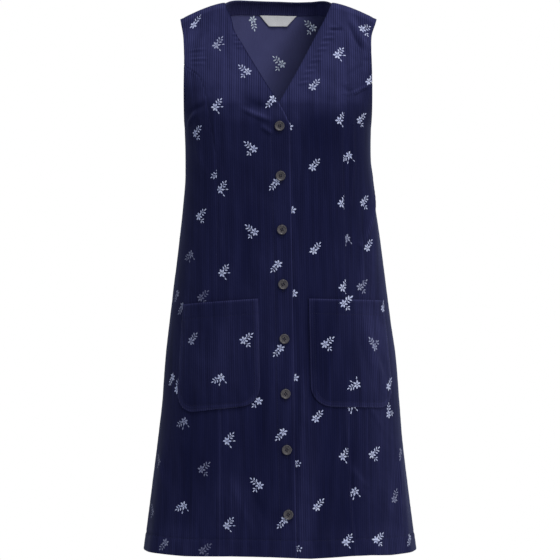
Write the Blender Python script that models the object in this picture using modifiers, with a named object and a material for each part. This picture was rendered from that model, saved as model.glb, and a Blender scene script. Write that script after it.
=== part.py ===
"""Sleeveless, V-necked, button-through shift dress, filled out as when it is worn.

The cloth is a thin wall on one garment surface, cut into the panels that a maker sews: two centre
fronts that lap under eight buttons, two side fronts, a back, two patch pockets and the strip and
label inside the back neck. Metres, +Z up, front to -Y, so the wearer's right is at -X. The origin is
midway between the shoulder seams, level with their neck ends.

A place on the garment is (face, across, drop): face is FRONT or BACK, across is the distance along the
cloth from the middle plane, plus to +X, and drop is the distance below the shoulder seam.
"""

import math
from collections import namedtuple

import bmesh
import bpy
import numpy as np
from mathutils import Vector

NAME = "shift_dress"
FRONT = -1
BACK = 1
RIGHT = -1
LEFT = 1

# Cloth and seams
CLOTH = 0.0015
SEAM_GAP = 0.0003
LAYER = CLOTH + SEAM_GAP
SEAM_START = 0.0030
STEEPEST_SLANT = 3.0

# How finely the panels are divided
LONGEST_ROW = 0.0725
ARCH_TURNS = (0, 12, 45, 90)
UNDERARM_TURNS = (45, 68)
CORNER_TURNS = (0, 25, 55, 90)
FRONT_COLUMNS = 7
NECK_SHARES = np.array([0.0, 0.12, 0.24])
LAP_COLUMNS_TOP = 0.113
LAP_COLUMNS_BLEND = 0.068
SIDE_COLUMNS = 8
BACK_COLUMNS = 25
POCKET_ROWS = 6
POCKET_COLUMNS = 9

# Shoulder, neck and armhole
LENGTH = 0.977
NECK_HALF = 0.0955
SHOULDER_HALF = 0.175
SHOULDER_SLOPE = 0.030
SHOULDER_BOW = 1.4
SHOULDER_ROUND = 0.012
SHOULDER_BLEND = 0.16
BACK_NECK_DEPTH = 0.075
BACK_NECK_RISE = 0.011
BACK_NECK_FLATNESS = 10
BACK_NECK_BLEND = 0.20
BACK_NECK_SOFTNESS = 4
NECK_SQUARENESS = 2.4
UNDERARM = 0.226
UNDERARM_ROUND = 0.042
BACK_ARMHOLE_SPREAD = 0.0015

# Front opening
OVERLAP_TOP = 0.226
OVERLAP_REACH = 0.0185
OVERLAP_REACH_HEM = 0.0130
UNDERLAP_REACH = 0.016
SKIRT_TURN = 0.017
LAP_BLEND = 0.030

# Buttons
BUTTON_RADIUS = 0.0086
BUTTON_THICKNESS = 0.0032
BUTTON_DISH = 0.0012
BUTTON_RIM = 0.0017
BUTTON_HOLE_RADIUS = 0.0009
BUTTON_HOLE_REACH = 0.0019
BUTTON_SIDES = 16
BUTTON_HOLE_SIDES = 5
BUTTON_GAP = 0.0006

# Pockets
POCKET_HEIGHT = 0.187
POCKET_CORNER = 0.036
POCKET_LIFT = LAYER + 0.0008

# Neck facing and label
FACING_TOP = 0.0035
FACING_DEPTH = 0.023
FACING_WALL = 0.001
FACING_LIFT = -(CLOTH / 2 + SEAM_GAP + FACING_WALL / 2)
LABEL_LIFT = FACING_LIFT - 0.0005
LABEL_MIDDLE = 0.0010
LABEL_TOP_HALF = 0.034
LABEL_BOTTOM_HALF = 0.0165
LABEL_HEIGHT = 0.0185

# One row for each level of the body: half the width seen from the front, how far the level hangs to the
# wearer's left, how far the middle of the front and of the back stand from the side seams, how far the
# armhole's edges reach forward and back, and the squareness of the section (2 is an ellipse).
Level = namedtuple("Level", "drop half_width sway front back arm_front arm_back square_front square_back")
BODY = (
    Level(0.000, 0.1750, -0.0018, 0.0120, 0.0900, 0.012, 0.012, 2.4, 2.4),
    Level(0.036, 0.1675, -0.0038, 0.0240, 0.0930, 0.020, 0.024, 2.5, 2.4),
    Level(0.075, 0.1658, -0.0034, 0.0440, 0.0965, 0.039, 0.037, 2.7, 2.4),
    Level(0.100, 0.1655, -0.0028, 0.0620, 0.0990, 0.053, 0.045, 2.8, 2.4),
    Level(0.130, 0.1655, -0.0027, 0.0880, 0.1015, 0.064, 0.051, 2.8, 2.5),
    Level(0.160, 0.1655, -0.0027, 0.1110, 0.1030, 0.068, 0.053, 2.8, 2.7),
    Level(0.190, 0.1653, -0.0027, 0.1250, 0.1040, 0.065, 0.051, 3.0, 2.9),
    Level(0.226, 0.1650, -0.0030, 0.1300, 0.1030, 0.060, 0.048, 3.1, 3.0),
    Level(0.262, 0.1642, -0.0027, 0.1290, 0.1000, 0.000, 0.000, 3.0, 2.9),
    Level(0.310, 0.1650, -0.0018, 0.1260, 0.0955, 0.000, 0.000, 2.8, 2.7),
    Level(0.352, 0.1690, -0.0009, 0.1240, 0.0935, 0.000, 0.000, 2.6, 2.6),
    Level(0.423, 0.1780, 0.0006, 0.1240, 0.0970, 0.000, 0.000, 2.4, 2.4),
    Level(0.495, 0.1870, 0.0009, 0.1270, 0.1070, 0.000, 0.000, 2.3, 2.3),
    Level(0.566, 0.1960, 0.0011, 0.1310, 0.1180, 0.000, 0.000, 2.3, 2.3),
    Level(0.638, 0.2050, 0.0022, 0.1350, 0.1270, 0.000, 0.000, 2.3, 2.3),
    Level(0.709, 0.2103, 0.0024, 0.1390, 0.1340, 0.000, 0.000, 2.3, 2.3),
    Level(0.780, 0.2172, 0.0011, 0.1430, 0.1405, 0.000, 0.000, 2.3, 2.3),
    Level(0.852, 0.2260, 0.0008, 0.1470, 0.1470, 0.000, 0.000, 2.2, 2.2),
    Level(0.915, 0.2340, 0.0008, 0.1510, 0.1525, 0.000, 0.000, 2.2, 2.2),
    Level(0.977, 0.2418, 0.0009, 0.1555, 0.1580, 0.000, 0.000, 2.4, 2.2),
)

# The V neck: where each front's edge lies, as x, down to the top of the overlap. The two edges cross.
NeckEdge = namedtuple("NeckEdge", "drop right_x left_x")
NECK = (
    NeckEdge(0.0000, -0.0978, 0.0937),
    NeckEdge(0.0310, -0.0850, 0.0805),
    NeckEdge(0.0500, -0.0806, 0.0704),
    NeckEdge(0.0820, -0.0630, 0.0544),
    NeckEdge(0.1545, -0.0214, 0.0169),
    NeckEdge(0.1850, -0.0024, -0.0006),
    NeckEdge(0.2040, 0.0084, -0.0120),
    NeckEdge(0.2260, 0.0185, -0.0160),
)

# The princess seams, from the armhole to the hem: distance from the middle plane as seen from the front.
Seam = namedtuple("Seam", "drop x")
RIGHT_SEAM = (
    Seam(0.110, 0.1683),
    Seam(0.123, 0.1560),
    Seam(0.138, 0.1410),
    Seam(0.165, 0.1305),
    Seam(0.200, 0.1240),
    Seam(0.250, 0.1155),
    Seam(0.310, 0.1085),
    Seam(0.600, 0.1095),
    Seam(0.740, 0.1020),
    Seam(0.977, 0.1030),
)
LEFT_SEAM = (
    Seam(0.148, 0.1628),
    Seam(0.1575, 0.1530),
    Seam(0.165, 0.1370),
    Seam(0.1735, 0.1230),
    Seam(0.188, 0.1160),
    Seam(0.216, 0.1117),
    Seam(0.280, 0.1103),
    Seam(0.360, 0.1128),
    Seam(0.510, 0.1160),
    Seam(0.720, 0.1178),
    Seam(0.854, 0.1227),
    Seam(0.977, 0.1330),
)

# The largest folds: soft ridges, each from one place to another. One that ends below the hem runs off it.
Fold = namedtuple("Fold", "face across_top drop_top across_end drop_end half_width height")
FOLDS = (
    Fold(FRONT, 0.048, 0.64, 0.044, 0.990, 0.016, 0.0040),
    Fold(FRONT, 0.200, 0.27, 0.178, 0.520, 0.020, 0.0035),
    Fold(FRONT, -0.112, 0.80, -0.052, 0.960, 0.022, 0.0045),
    Fold(FRONT, -0.220, 0.74, -0.245, 0.990, 0.022, 0.0045),
    Fold(FRONT, 0.236, 0.76, 0.246, 0.990, 0.020, 0.0050),
    Fold(BACK, -0.150, 0.60, -0.165, 0.990, 0.026, 0.0055),
    Fold(BACK, -0.045, 0.66, -0.050, 0.990, 0.026, 0.0050),
    Fold(BACK, 0.062, 0.58, 0.070, 0.990, 0.028, 0.0060),
    Fold(BACK, 0.170, 0.64, 0.185, 0.990, 0.026, 0.0050),
    Fold(BACK, -0.090, 0.30, 0.080, 0.345, 0.018, 0.0030),
)
FOLD_TAPER = 0.10

BUTTON_DROPS = (0.2277, 0.3137, 0.4074, 0.5025, 0.5970, 0.6920, 0.7886, 0.9000)

Pocket = namedtuple("Pocket", "name side top tilt inner width flare")
POCKETS = (
    Pocket("pocket_right", RIGHT, 0.527, 0.011, 0.044, 0.146, 0.014),
    Pocket("pocket_left", LEFT, 0.527, 0.004, 0.044, 0.156, 0.010),
)

Finish = namedtuple("Finish", "colour roughness")
FINISHES = {
    "corduroy": Finish((0.012, 0.014, 0.042), 0.90),
    "facing_cloth": Finish((0.010, 0.011, 0.036), 0.90),
    "label_cloth": Finish((0.62, 0.62, 0.66), 0.75),
    "horn": Finish((0.050, 0.040, 0.034), 0.35),
}

# How closely the surface is measured, and the largest share of a level's depth that an armhole takes
RING_STEPS = 64
NUDGE = 0.0015
DEEPEST_CUT = 0.995


# ---------------------------------------------------------------- the garment surface


def ease(share):
    """0 to 1 with a soft start and end."""
    share = np.clip(share, 0.0, 1.0)
    return share * share * (3.0 - 2.0 * share)


def curve(table, column, drop):
    """A table's column at any drop, on a smooth curve through its rows that never overshoots them."""
    levels = np.array([row.drop for row in table])
    values = np.array([getattr(row, column) for row in table])
    step = np.diff(levels)
    rise = np.diff(values) / step
    slope = np.zeros(len(levels))
    slope[0] = rise[0]
    slope[-1] = rise[-1]
    both = rise[1:] * rise[:-1]
    total = rise[1:] + rise[:-1]
    slope[1:-1] = np.where(both > 0.0, 2.0 * both / np.where(total == 0.0, 1.0, total), 0.0)
    at = np.clip(drop, levels[0], levels[-1])
    k = np.clip(np.searchsorted(levels, at, side="right") - 1, 0, len(step) - 1)
    t = (at - levels[k]) / step[k]
    start = values[k] * (1 + 2 * t) * (1 - t) ** 2 + slope[k] * step[k] * t * (1 - t) ** 2
    end = values[k + 1] * t * t * (3 - 2 * t) - slope[k + 1] * step[k] * t * t * (1 - t)
    return start + end


def shoulder_arch(drop):
    """How far the cloth stands from the shoulder seam just below it: a quarter round."""
    share = np.clip(1.0 - drop / SHOULDER_ROUND, 0.0, 1.0)
    return SHOULDER_ROUND * np.sqrt(1.0 - share * share)


def shoulder_line(face, x):
    """How far the top edge lies below the origin at x."""
    out = np.clip((np.abs(x) - NECK_HALF) / (SHOULDER_HALF - NECK_HALF), 0.0, 1.2)
    rise = BACK_NECK_RISE * np.clip(1.0 - (x / NECK_HALF) ** BACK_NECK_FLATNESS, 0.0, 1.0)
    return SHOULDER_SLOPE * out**SHOULDER_BOW - (rise if face == BACK else 0.0)


def armhole_reach(face, drop):
    """How far the armhole's edge stands forward (or back) of the side seam."""
    column = "arm_front" if face == FRONT else "arm_back"
    reach = curve(BODY, column, np.minimum(drop, UNDERARM)) - SHOULDER_ROUND + shoulder_arch(drop)
    share = np.clip((drop - UNDERARM + UNDERARM_ROUND) / UNDERARM_ROUND, 0.0, 1.0)
    return reach * np.sqrt(1.0 - share * share)


def half_width(face, drop):
    spread = BACK_ARMHOLE_SPREAD * np.sin(np.pi * np.clip(drop / UNDERARM, 0.0, 1.0))
    return curve(BODY, "half_width", drop) + (spread if face == BACK else 0.0)


def ring_point(face, turn, drop):
    """Point of the level at this drop. The turn runs from 0 in the middle to 1 at the armhole or side seam.

    Each level is part of a squared ellipse. The armhole cuts it where it stands armhole_reach from the seam.
    """
    power = 2.0 / curve(BODY, "square_front" if face == FRONT else "square_back", drop)
    depth = curve(BODY, "front" if face == FRONT else "back", drop)
    if face == FRONT:
        depth = depth - SHOULDER_ROUND + shoulder_arch(drop)
    cut = np.clip(armhole_reach(face, drop) / np.maximum(depth, NUDGE), 0.0, DEEPEST_CUT)
    last = np.arccos(cut ** (1.0 / power))
    x = half_width(face, drop) * (np.sin(turn * last) / np.sin(last)) ** power
    y = depth * np.cos(turn * last) ** power
    if face == BACK:
        neck = np.clip(1.0 - (x / NECK_HALF) ** NECK_SQUARENESS, 0.0, 1.0) ** (1.0 / NECK_SQUARENESS)
        near_neck = np.clip(1.0 - drop / BACK_NECK_BLEND, 0.0, 1.0) ** BACK_NECK_SOFTNESS
        y = near_neck * (BACK_NECK_DEPTH * neck + shoulder_arch(drop)) + (1.0 - near_neck) * y
    z = -(drop + shoulder_line(face, x) * (1.0 - ease(drop / SHOULDER_BLEND)))
    return np.stack([x, face * (y + SEAM_GAP / 2), z], axis=-1)


def ring(face, drop):
    """Turns, points and running length of each level, from the middle to the side."""
    share = np.linspace(0.0, 1.0, RING_STEPS + 1)
    turn = (1.0 - np.cos(np.pi * share)) / 2
    turn, drop = np.broadcast_arrays(turn[None, :], np.atleast_1d(drop)[:, None])
    points = ring_point(face, turn, drop)
    length = np.linalg.norm(np.diff(points, axis=1), axis=2)
    running = np.concatenate([np.zeros((len(length), 1)), np.cumsum(length, axis=1)], axis=1)
    return turn, points, running


def read_rows(place, known, wanted):
    """For each row, the wanted value at a place, where known and wanted are running lists."""
    at = np.clip(place[:, None], known[:, :1], known[:, -1:])
    k = np.clip((known <= at).sum(axis=1) - 1, 0, known.shape[1] - 2)
    row = np.arange(len(k))
    low = known[row, k]
    span = np.maximum(known[row, k + 1] - low, 1e-12)
    share = (at[:, 0] - low) / span
    return wanted[row, k] + share * (wanted[row, k + 1] - wanted[row, k])


def side_length(face, drop):
    """Distance along the cloth from the middle to the armhole's edge or the side seam."""
    return ring(face, drop)[2][:, -1]


def across_at(face, x, drop):
    """Distance along the cloth from the middle to the place that lies at x."""
    x, drop = np.broadcast_arrays(np.atleast_1d(x), np.atleast_1d(drop))
    x = x - curve(BODY, "sway", drop)
    _, points, running = ring(face, drop)
    return np.sign(x) * read_rows(np.abs(x), points[:, :, 0], running)


def base(face, across, drop):
    """Point of the smooth garment surface."""
    turns, _, running = ring(face, drop)
    point = ring_point(face, read_rows(np.abs(across), running, turns), drop)
    point[:, 0] = point[:, 0] * np.where(across < 0.0, -1.0, 1.0) + curve(BODY, "sway", drop)
    return point


def outward(face, across, drop):
    """Unit normal of the garment surface, pointing out of the dress."""
    limit = side_length(face, drop)
    west = base(face, np.maximum(across - NUDGE, -limit), drop)
    east = base(face, np.minimum(across + NUDGE, limit), drop)
    north = base(face, across, np.maximum(drop - NUDGE, 0.0))
    south = base(face, across, drop + NUDGE)
    normal = np.cross(east - west, south - north) * face
    return normal / np.linalg.norm(normal, axis=1, keepdims=True)


def fold_height(face, across, drop):
    """How far the folds push the cloth out here."""
    height = np.zeros(np.shape(drop))
    for fold in FOLDS:
        if fold.face != face:
            continue
        run = np.array([fold.across_end - fold.across_top, fold.drop_end - fold.drop_top])
        span = float(np.hypot(*run))
        from_top = np.stack([across - fold.across_top, drop - fold.drop_top], axis=-1)
        along = from_top @ run / span
        aside = from_top @ np.array([-run[1], run[0]]) / span
        taper = ease(along / FOLD_TAPER)
        if fold.drop_end <= LENGTH:
            taper = taper * ease((span - along) / FOLD_TAPER)
        height += fold.height * taper * np.exp(-((aside / fold.half_width) ** 2))
    return height


def cloth(face, across, drop, lift=0.0):
    """Points in the middle of the cloth's wall, or lifted off it."""
    across, drop = np.broadcast_arrays(np.asarray(across, float), np.asarray(drop, float))
    out = outward(face, across, drop)
    return base(face, across, drop) + out * (fold_height(face, across, drop) + lift)[:, None]


def seat(face, across, drop, reach):
    """Where a flat piece rests on the folded cloth: the middle of the wall there, and the way it faces."""
    beside = np.array([across - reach, across + reach, across, across])
    above = np.array([drop, drop, drop - reach, drop + reach])
    west, east, north, south = cloth(face, beside, above)
    normal = Vector(np.cross(east - west, south - north)) * face
    return Vector((west + east + north + south) / 4), normal.normalized()


# ---------------------------------------------------------------- seams and edges


def button_line(drop):
    """Across-distance of the buttons: the opening turns to the wearer's left towards the hem."""
    turn = SKIRT_TURN * np.clip((drop - OVERLAP_TOP) / (LENGTH - OVERLAP_TOP), 0.0, 1.0)
    return turn - curve(BODY, "sway", drop)


def overlap_edge(drop):
    share = np.clip((drop - OVERLAP_TOP) / (LENGTH - OVERLAP_TOP), 0.0, 1.0)
    return button_line(drop) + OVERLAP_REACH + (OVERLAP_REACH_HEM - OVERLAP_REACH) * share


def front_edge(side, drop):
    """Across-distance of a centre front's free edge: the V neck, then the overlap or the underlap."""
    column = "right_x" if side == RIGHT else "left_x"
    neck = across_at(FRONT, curve(NECK, column, drop), drop)
    below = overlap_edge(drop) if side == RIGHT else button_line(drop) - UNDERLAP_REACH
    return np.where(drop < OVERLAP_TOP, neck, below)


def seam_table(side):
    return RIGHT_SEAM if side == RIGHT else LEFT_SEAM


def princess_seam(side, drop):
    """Across-distance of the princess seam, without its sign. Above its start it is the armhole's edge."""
    table = seam_table(side)
    limit = side_length(FRONT, drop)
    seam = side * across_at(FRONT, side * curve(table, "x", drop), drop)
    seam = np.minimum(seam, limit - SEAM_START)
    return np.where(drop < table[0].drop, limit, seam)


def seam_margin(side, drop):
    """Half the gap at the princess seam, measured across: wider where the seam runs aslant."""
    slant = (princess_seam(side, drop + NUDGE) - princess_seam(side, drop - NUDGE)) / (2 * NUDGE)
    slant = np.minimum(np.abs(slant), STEEPEST_SLANT)
    return SEAM_GAP / 2 * (1.0 + slant) * np.sqrt(1.0 + slant * slant)


def lap_lift(side, across):
    """The overlap lies half a layer out and the underlap half a layer in. Both ease back to the surface."""
    if side == RIGHT:
        return LAYER / 2 * ease((across + UNDERLAP_REACH + LAP_BLEND) / LAP_BLEND)
    reach = OVERLAP_REACH + SKIRT_TURN
    return -LAYER / 2 * ease((reach + LAP_BLEND - across) / LAP_BLEND)


def levels(top, bottom, *tables):
    """Drops of the rows between two levels: those that shape the cloth, and more where they lie far apart."""
    arch = SHOULDER_ROUND * (1.0 - np.cos(np.radians(ARCH_TURNS)))
    under = UNDERARM - UNDERARM_ROUND * (1.0 - np.sin(np.radians(UNDERARM_TURNS)))
    shaping = [row.drop for table in (BODY, *tables) for row in table]
    named = sorted(level for level in {*arch, *under, *shaping, FACING_DEPTH} if top <= level <= bottom)
    rows = [named[0]]
    for level in named[1:]:
        pieces = math.ceil((level - rows[-1]) / LONGEST_ROW)
        rows += list(np.linspace(rows[-1], level, pieces + 1)[1:])
    return np.array(rows)


# ---------------------------------------------------------------- making the objects


def material(name):
    made = bpy.data.materials.get(name)
    if made is None:
        finish = FINISHES[name]
        made = bpy.data.materials.new(name)
        made.use_nodes = True
        shader = made.node_tree.nodes["Principled BSDF"]
        shader.inputs["Base Color"].default_value = (*finish.colour, 1.0)
        shader.inputs["Roughness"].default_value = finish.roughness
        shader.inputs["Metallic"].default_value = 0.0
    return made


def new_object(name, bm, finish, collection):
    bmesh.ops.recalc_face_normals(bm, faces=bm.faces)
    mesh = bpy.data.meshes.new(name)
    bm.to_mesh(mesh)
    bm.free()
    mesh.shade_smooth()
    mesh.materials.append(material(finish))
    made = bpy.data.objects.new(name, mesh)
    collection.objects.link(made)
    return made


def sheet(name, points, wall, finish, collection):
    """A cloth panel: a grid laid on a table of points (rows down, columns across), given its wall."""
    rows, columns = points.shape[:2]
    bm = bmesh.new()
    bmesh.ops.create_grid(bm, x_segments=columns - 1, y_segments=rows - 1, size=0.5)
    for vert in bm.verts:
        column = round((vert.co.x + 0.5) * (columns - 1))
        row = round((0.5 - vert.co.y) * (rows - 1))
        vert.co = Vector(points[row, column])
    made = new_object(name, bm, finish, collection)
    thick = made.modifiers.new("wall", "SOLIDIFY")
    thick.thickness = wall
    thick.offset = 0.0
    return made


def panel(name, face, across, drops, lift, collection, finish="corduroy", wall=CLOTH):
    """A panel from its across-distances, one row of them for each drop."""
    rows, columns = across.shape
    flat_drops = np.repeat(drops, columns) if drops.ndim == 1 else drops.ravel()
    points = cloth(face, across.ravel(), flat_drops, np.broadcast_to(lift, across.shape).ravel())
    return sheet(name, points.reshape(rows, columns, 3), wall, finish, collection)


def centre_front(side, collection):
    """From the free edge to the princess seam. Below the neck both fronts share the columns of the lap."""
    drops = levels(0.0, LENGTH, NECK[1:], seam_table(side)[:4])
    free = front_edge(side, drops)
    outer = side * (princess_seam(side, drops) - seam_margin(side, drops))
    even = free[:, None] + (outer - free)[:, None] * NECK_SHARES
    middle = button_line(drops)
    lap = np.stack([overlap_edge(drops), middle, middle - UNDERLAP_REACH], axis=1)
    if side == LEFT:
        lap = lap[:, ::-1]
    shared = free[:, None] + lap - lap[:, :1]
    near = even + (shared - even) * ease((drops - LAP_COLUMNS_TOP) / LAP_COLUMNS_BLEND)[:, None]
    share = np.linspace(0.0, 1.0, FRONT_COLUMNS)[1:]
    far = near[:, -1:] + (outer[:, None] - near[:, -1:]) * share[None, :]
    across = np.concatenate([near, far], axis=1)
    name = "front_right" if side == RIGHT else "front_left"
    return panel(name, FRONT, across, drops, lap_lift(side, across), collection)


def side_front(side, collection):
    """From the princess seam to the armhole and the side seam."""
    drops = levels(seam_table(side)[0].drop, LENGTH, NECK[1:], seam_table(side)[:4])
    outer = side_length(FRONT, drops)
    inner = np.minimum(princess_seam(side, drops) + seam_margin(side, drops), outer - SEAM_START / 3)
    share = np.linspace(0.0, 1.0, SIDE_COLUMNS)
    across = side * (inner[:, None] + (outer - inner)[:, None] * share[None, :])
    name = "side_front_right" if side == RIGHT else "side_front_left"
    return panel(name, FRONT, across, drops, 0.0, collection)


def back_columns(drops, share):
    """Across-distances of the back: half its columns lie under the neck at the top, and even out below."""
    outer = side_length(BACK, drops)[:, None]
    neck = across_at(BACK, NECK_HALF, drops)[:, None]
    inside = np.abs(share) <= 0.5
    top = np.where(inside, 2.0 * np.abs(share) * neck, neck + (2.0 * np.abs(share) - 1.0) * (outer - neck))
    even = np.abs(share) * outer
    return np.sign(share) * (top + (even - top) * ease(drops / SHOULDER_BLEND)[:, None])


def back(collection):
    drops = levels(0.0, LENGTH)
    share = np.linspace(-1.0, 1.0, BACK_COLUMNS)
    return panel("back", BACK, back_columns(drops, share[None, :]), drops, 0.0, collection)


def pocket(row, collection):
    """A patch that follows the front over the princess seam, with round lower corners."""
    straight = np.linspace(0.0, POCKET_HEIGHT - POCKET_CORNER, POCKET_ROWS)[:-1]
    round_part = POCKET_HEIGHT - POCKET_CORNER * (1.0 - np.sin(np.radians(CORNER_TURNS)))
    down = np.concatenate([straight, round_part])
    half = (row.width + row.flare * down / POCKET_HEIGHT) / 2
    middle = row.inner + half
    into_corner = np.maximum(POCKET_CORNER - (POCKET_HEIGHT - down), 0.0)
    half = half - POCKET_CORNER + np.sqrt(POCKET_CORNER**2 - into_corner**2)
    share = np.linspace(-1.0, 1.0, POCKET_COLUMNS)
    drops = row.top + down[:, None] + row.tilt * (share[None, :] + 1.0) / 2
    across = button_line(drops) + row.side * (middle[:, None] + half[:, None] * share[None, :])
    return panel(row.name, FRONT, across, drops, POCKET_LIFT, collection)


def back_neck_facing(collection):
    """The strip inside the back neck, in the same columns and rows as the back behind it."""
    drops = levels(FACING_TOP, FACING_DEPTH)
    share = np.linspace(-1.0, 1.0, BACK_COLUMNS)
    share = share[np.abs(share) < 0.5]
    across = back_columns(drops, share[None, :])
    return panel("back_neck_facing", BACK, across, drops, FACING_LIFT, collection, "facing_cloth", FACING_WALL)


def neck_label(collection):
    """A bare label that hangs from the facing's lower edge, narrower below."""
    down = np.linspace(0.0, 1.0, 3)
    half = LABEL_TOP_HALF + (LABEL_BOTTOM_HALF - LABEL_TOP_HALF) * down
    across = LABEL_MIDDLE + half[:, None] * np.linspace(-1.0, 1.0, 5)[None, :]
    drops = FACING_DEPTH + SEAM_GAP + LABEL_HEIGHT * down
    return panel("neck_label", BACK, across, drops, LABEL_LIFT, collection, "label_cloth", FACING_WALL)


def button_holes(collection):
    """Four posts that cut the thread holes of a button."""
    bm = bmesh.new()
    for quarter in range(4):
        turn = math.radians(45 + 90 * quarter)
        place = Vector((math.cos(turn), math.sin(turn), 0.0)) * BUTTON_HOLE_REACH
        made = bmesh.ops.create_cone(
            bm,
            cap_ends=True,
            segments=BUTTON_HOLE_SIDES,
            radius1=BUTTON_HOLE_RADIUS,
            radius2=BUTTON_HOLE_RADIUS,
            depth=3 * BUTTON_THICKNESS,
        )
        bmesh.ops.translate(bm, verts=made["verts"], vec=place)
    cutter = new_object("button_holes", bm, "horn", collection)
    cutter.hide_render = True
    cutter.display_type = "WIRE"
    return cutter


def button_mesh():
    """A turned disc with a dished face and a round rim, axis along +Z, its back at z = 0."""
    well = BUTTON_RADIUS - BUTTON_RIM
    profile = (
        (BUTTON_RADIUS * 0.80, 0.0),
        (BUTTON_RADIUS * 0.97, BUTTON_THICKNESS * 0.30),
        (BUTTON_RADIUS, BUTTON_THICKNESS * 0.62),
        (well + BUTTON_RIM * 0.45, BUTTON_THICKNESS),
        (well, BUTTON_THICKNESS - BUTTON_DISH * 0.55),
        (well * 0.45, BUTTON_THICKNESS - BUTTON_DISH),
    )
    bm = bmesh.new()
    last = None
    for radius, height in profile:
        vert = bm.verts.new((radius, 0.0, height))
        if last is not None:
            bm.edges.new((last, vert))
        last = vert
    bmesh.ops.spin(
        bm,
        geom=bm.verts[:] + bm.edges[:],
        axis=(0.0, 0.0, 1.0),
        cent=(0.0, 0.0, 0.0),
        angle=2 * math.pi,
        steps=BUTTON_SIDES,
        use_merge=True,
    )
    bmesh.ops.holes_fill(bm, edges=[edge for edge in bm.edges if edge.is_boundary], sides=0)
    return bm


def button(number, drop, holes, collection):
    """One button, lying on the overlap."""
    made = new_object(f"button_{number}", button_mesh(), "horn", collection)
    place, normal = seat(FRONT, float(button_line(np.array([drop]))[0]), drop, BUTTON_RADIUS)
    made.location = place + normal * (LAYER / 2 + CLOTH / 2 + BUTTON_GAP)
    made.rotation_euler = normal.to_track_quat("Z", "Y").to_euler()
    cut = made.modifiers.new("holes", "BOOLEAN")
    cut.object = holes.copy()
    cut.object.name = f"button_holes_{number}"
    cut.object.location = made.location
    cut.object.rotation_euler = made.rotation_euler
    cut.operation = "DIFFERENCE"
    cut.solver = "EXACT"
    for owner in holes.users_collection:
        owner.objects.link(cut.object)
    return made


def main():
    for old in list(bpy.data.objects):
        bpy.data.objects.remove(old)
    parts = bpy.data.collections.new(NAME)
    cutters = bpy.data.collections.new("cutters")
    bpy.context.scene.collection.children.link(parts)
    bpy.context.scene.collection.children.link(cutters)
    for side in (RIGHT, LEFT):
        centre_front(side, parts)
        side_front(side, parts)
    back(parts)
    for row in POCKETS:
        pocket(row, parts)
    back_neck_facing(parts)
    neck_label(parts)
    holes = button_holes(cutters)
    for number, drop in enumerate(BUTTON_DROPS, start=1):
        button(number, drop, holes, parts)
    bpy.data.objects.remove(holes)


main()
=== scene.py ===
"""Looks of a sleeveless corduroy shift dress: cloth, embroidery, stitching, buttons and label.

Every cloth piece is a thin shell on one garment surface, the same one that its solid lies on. A place on it
is (face, across, drop): face is FRONT or BACK, across is the distance along the cloth from the middle plane,
plus towards the wearer's left, and drop is the distance below the shoulder seam. Metres, +Z up, front to -Y,
so the wearer's right is at -X. Rows given to table() are in millimetres.
"""

import math
from collections import namedtuple

import bmesh
import bpy
import numpy as np
from mathutils import Matrix, Vector


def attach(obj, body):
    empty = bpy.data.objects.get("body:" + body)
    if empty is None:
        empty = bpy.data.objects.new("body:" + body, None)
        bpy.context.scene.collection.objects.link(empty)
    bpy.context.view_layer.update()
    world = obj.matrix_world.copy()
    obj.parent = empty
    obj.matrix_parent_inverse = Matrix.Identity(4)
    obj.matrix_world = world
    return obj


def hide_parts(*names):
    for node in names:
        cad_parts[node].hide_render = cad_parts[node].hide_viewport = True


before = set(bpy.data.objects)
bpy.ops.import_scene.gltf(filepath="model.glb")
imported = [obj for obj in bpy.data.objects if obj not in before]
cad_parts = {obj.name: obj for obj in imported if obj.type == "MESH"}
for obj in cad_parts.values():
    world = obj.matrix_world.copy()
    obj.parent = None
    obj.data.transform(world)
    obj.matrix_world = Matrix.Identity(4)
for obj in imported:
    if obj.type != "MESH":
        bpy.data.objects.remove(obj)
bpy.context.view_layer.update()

FRONT, BACK = -1, 1
RIGHT, LEFT = -1, 1
FACE_WORD = {FRONT: "front", BACK: "back"}
SIDE_WORD = {RIGHT: "right", LEFT: "left"}
BODY_NAME = "root"

# Cloth and seams, as the solids have them
CLOTH = 0.0015
SEAM_GAP = 0.0003
LAYER = CLOTH + SEAM_GAP
SEAM_START = 0.0030
STEEPEST_SLANT = 3.0

# Shoulder, neck and armhole
LENGTH = 0.977
NECK_HALF = 0.0955
SHOULDER_HALF = 0.175
SHOULDER_SLOPE = 0.030
SHOULDER_BOW = 1.4
SHOULDER_ROUND = 0.012
SHOULDER_BLEND = 0.16
PAST_SHOULDER = 1.2
BACK_NECK_DEPTH = 0.075
BACK_NECK_RISE = 0.011
BACK_NECK_FLATNESS = 10
BACK_NECK_BLEND = 0.20
BACK_NECK_SOFTNESS = 4
NECK_SQUARENESS = 2.4
UNDERARM = 0.226
UNDERARM_ROUND = 0.042
BACK_ARMHOLE_SPREAD = 0.0015

# Front opening
OVERLAP_TOP = 0.226
OVERLAP_REACH = 0.0185
OVERLAP_REACH_HEM = 0.0130
UNDERLAP_REACH = 0.016
SKIRT_TURN = 0.017
LAP_BLEND = 0.030

# How closely the surface is measured, and the largest share of a level's depth that an armhole takes
RING_STEPS = 64
NUDGE = 0.0015
SEAM_CLOSE = 0.00004
SIDE_CLOSE = 0.00001
DEEPEST_CUT = 0.995


def table(kind, lead, rows, shares=0):
    """Rows of millimetres as named tuples in metres. The last values of a row may be plain shares."""
    made = []
    for row in rows:
        lengths = len(row) - shares
        made.append(kind(*lead, *(value / 1000 for value in row[:lengths]), *row[lengths:]))
    return made


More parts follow.
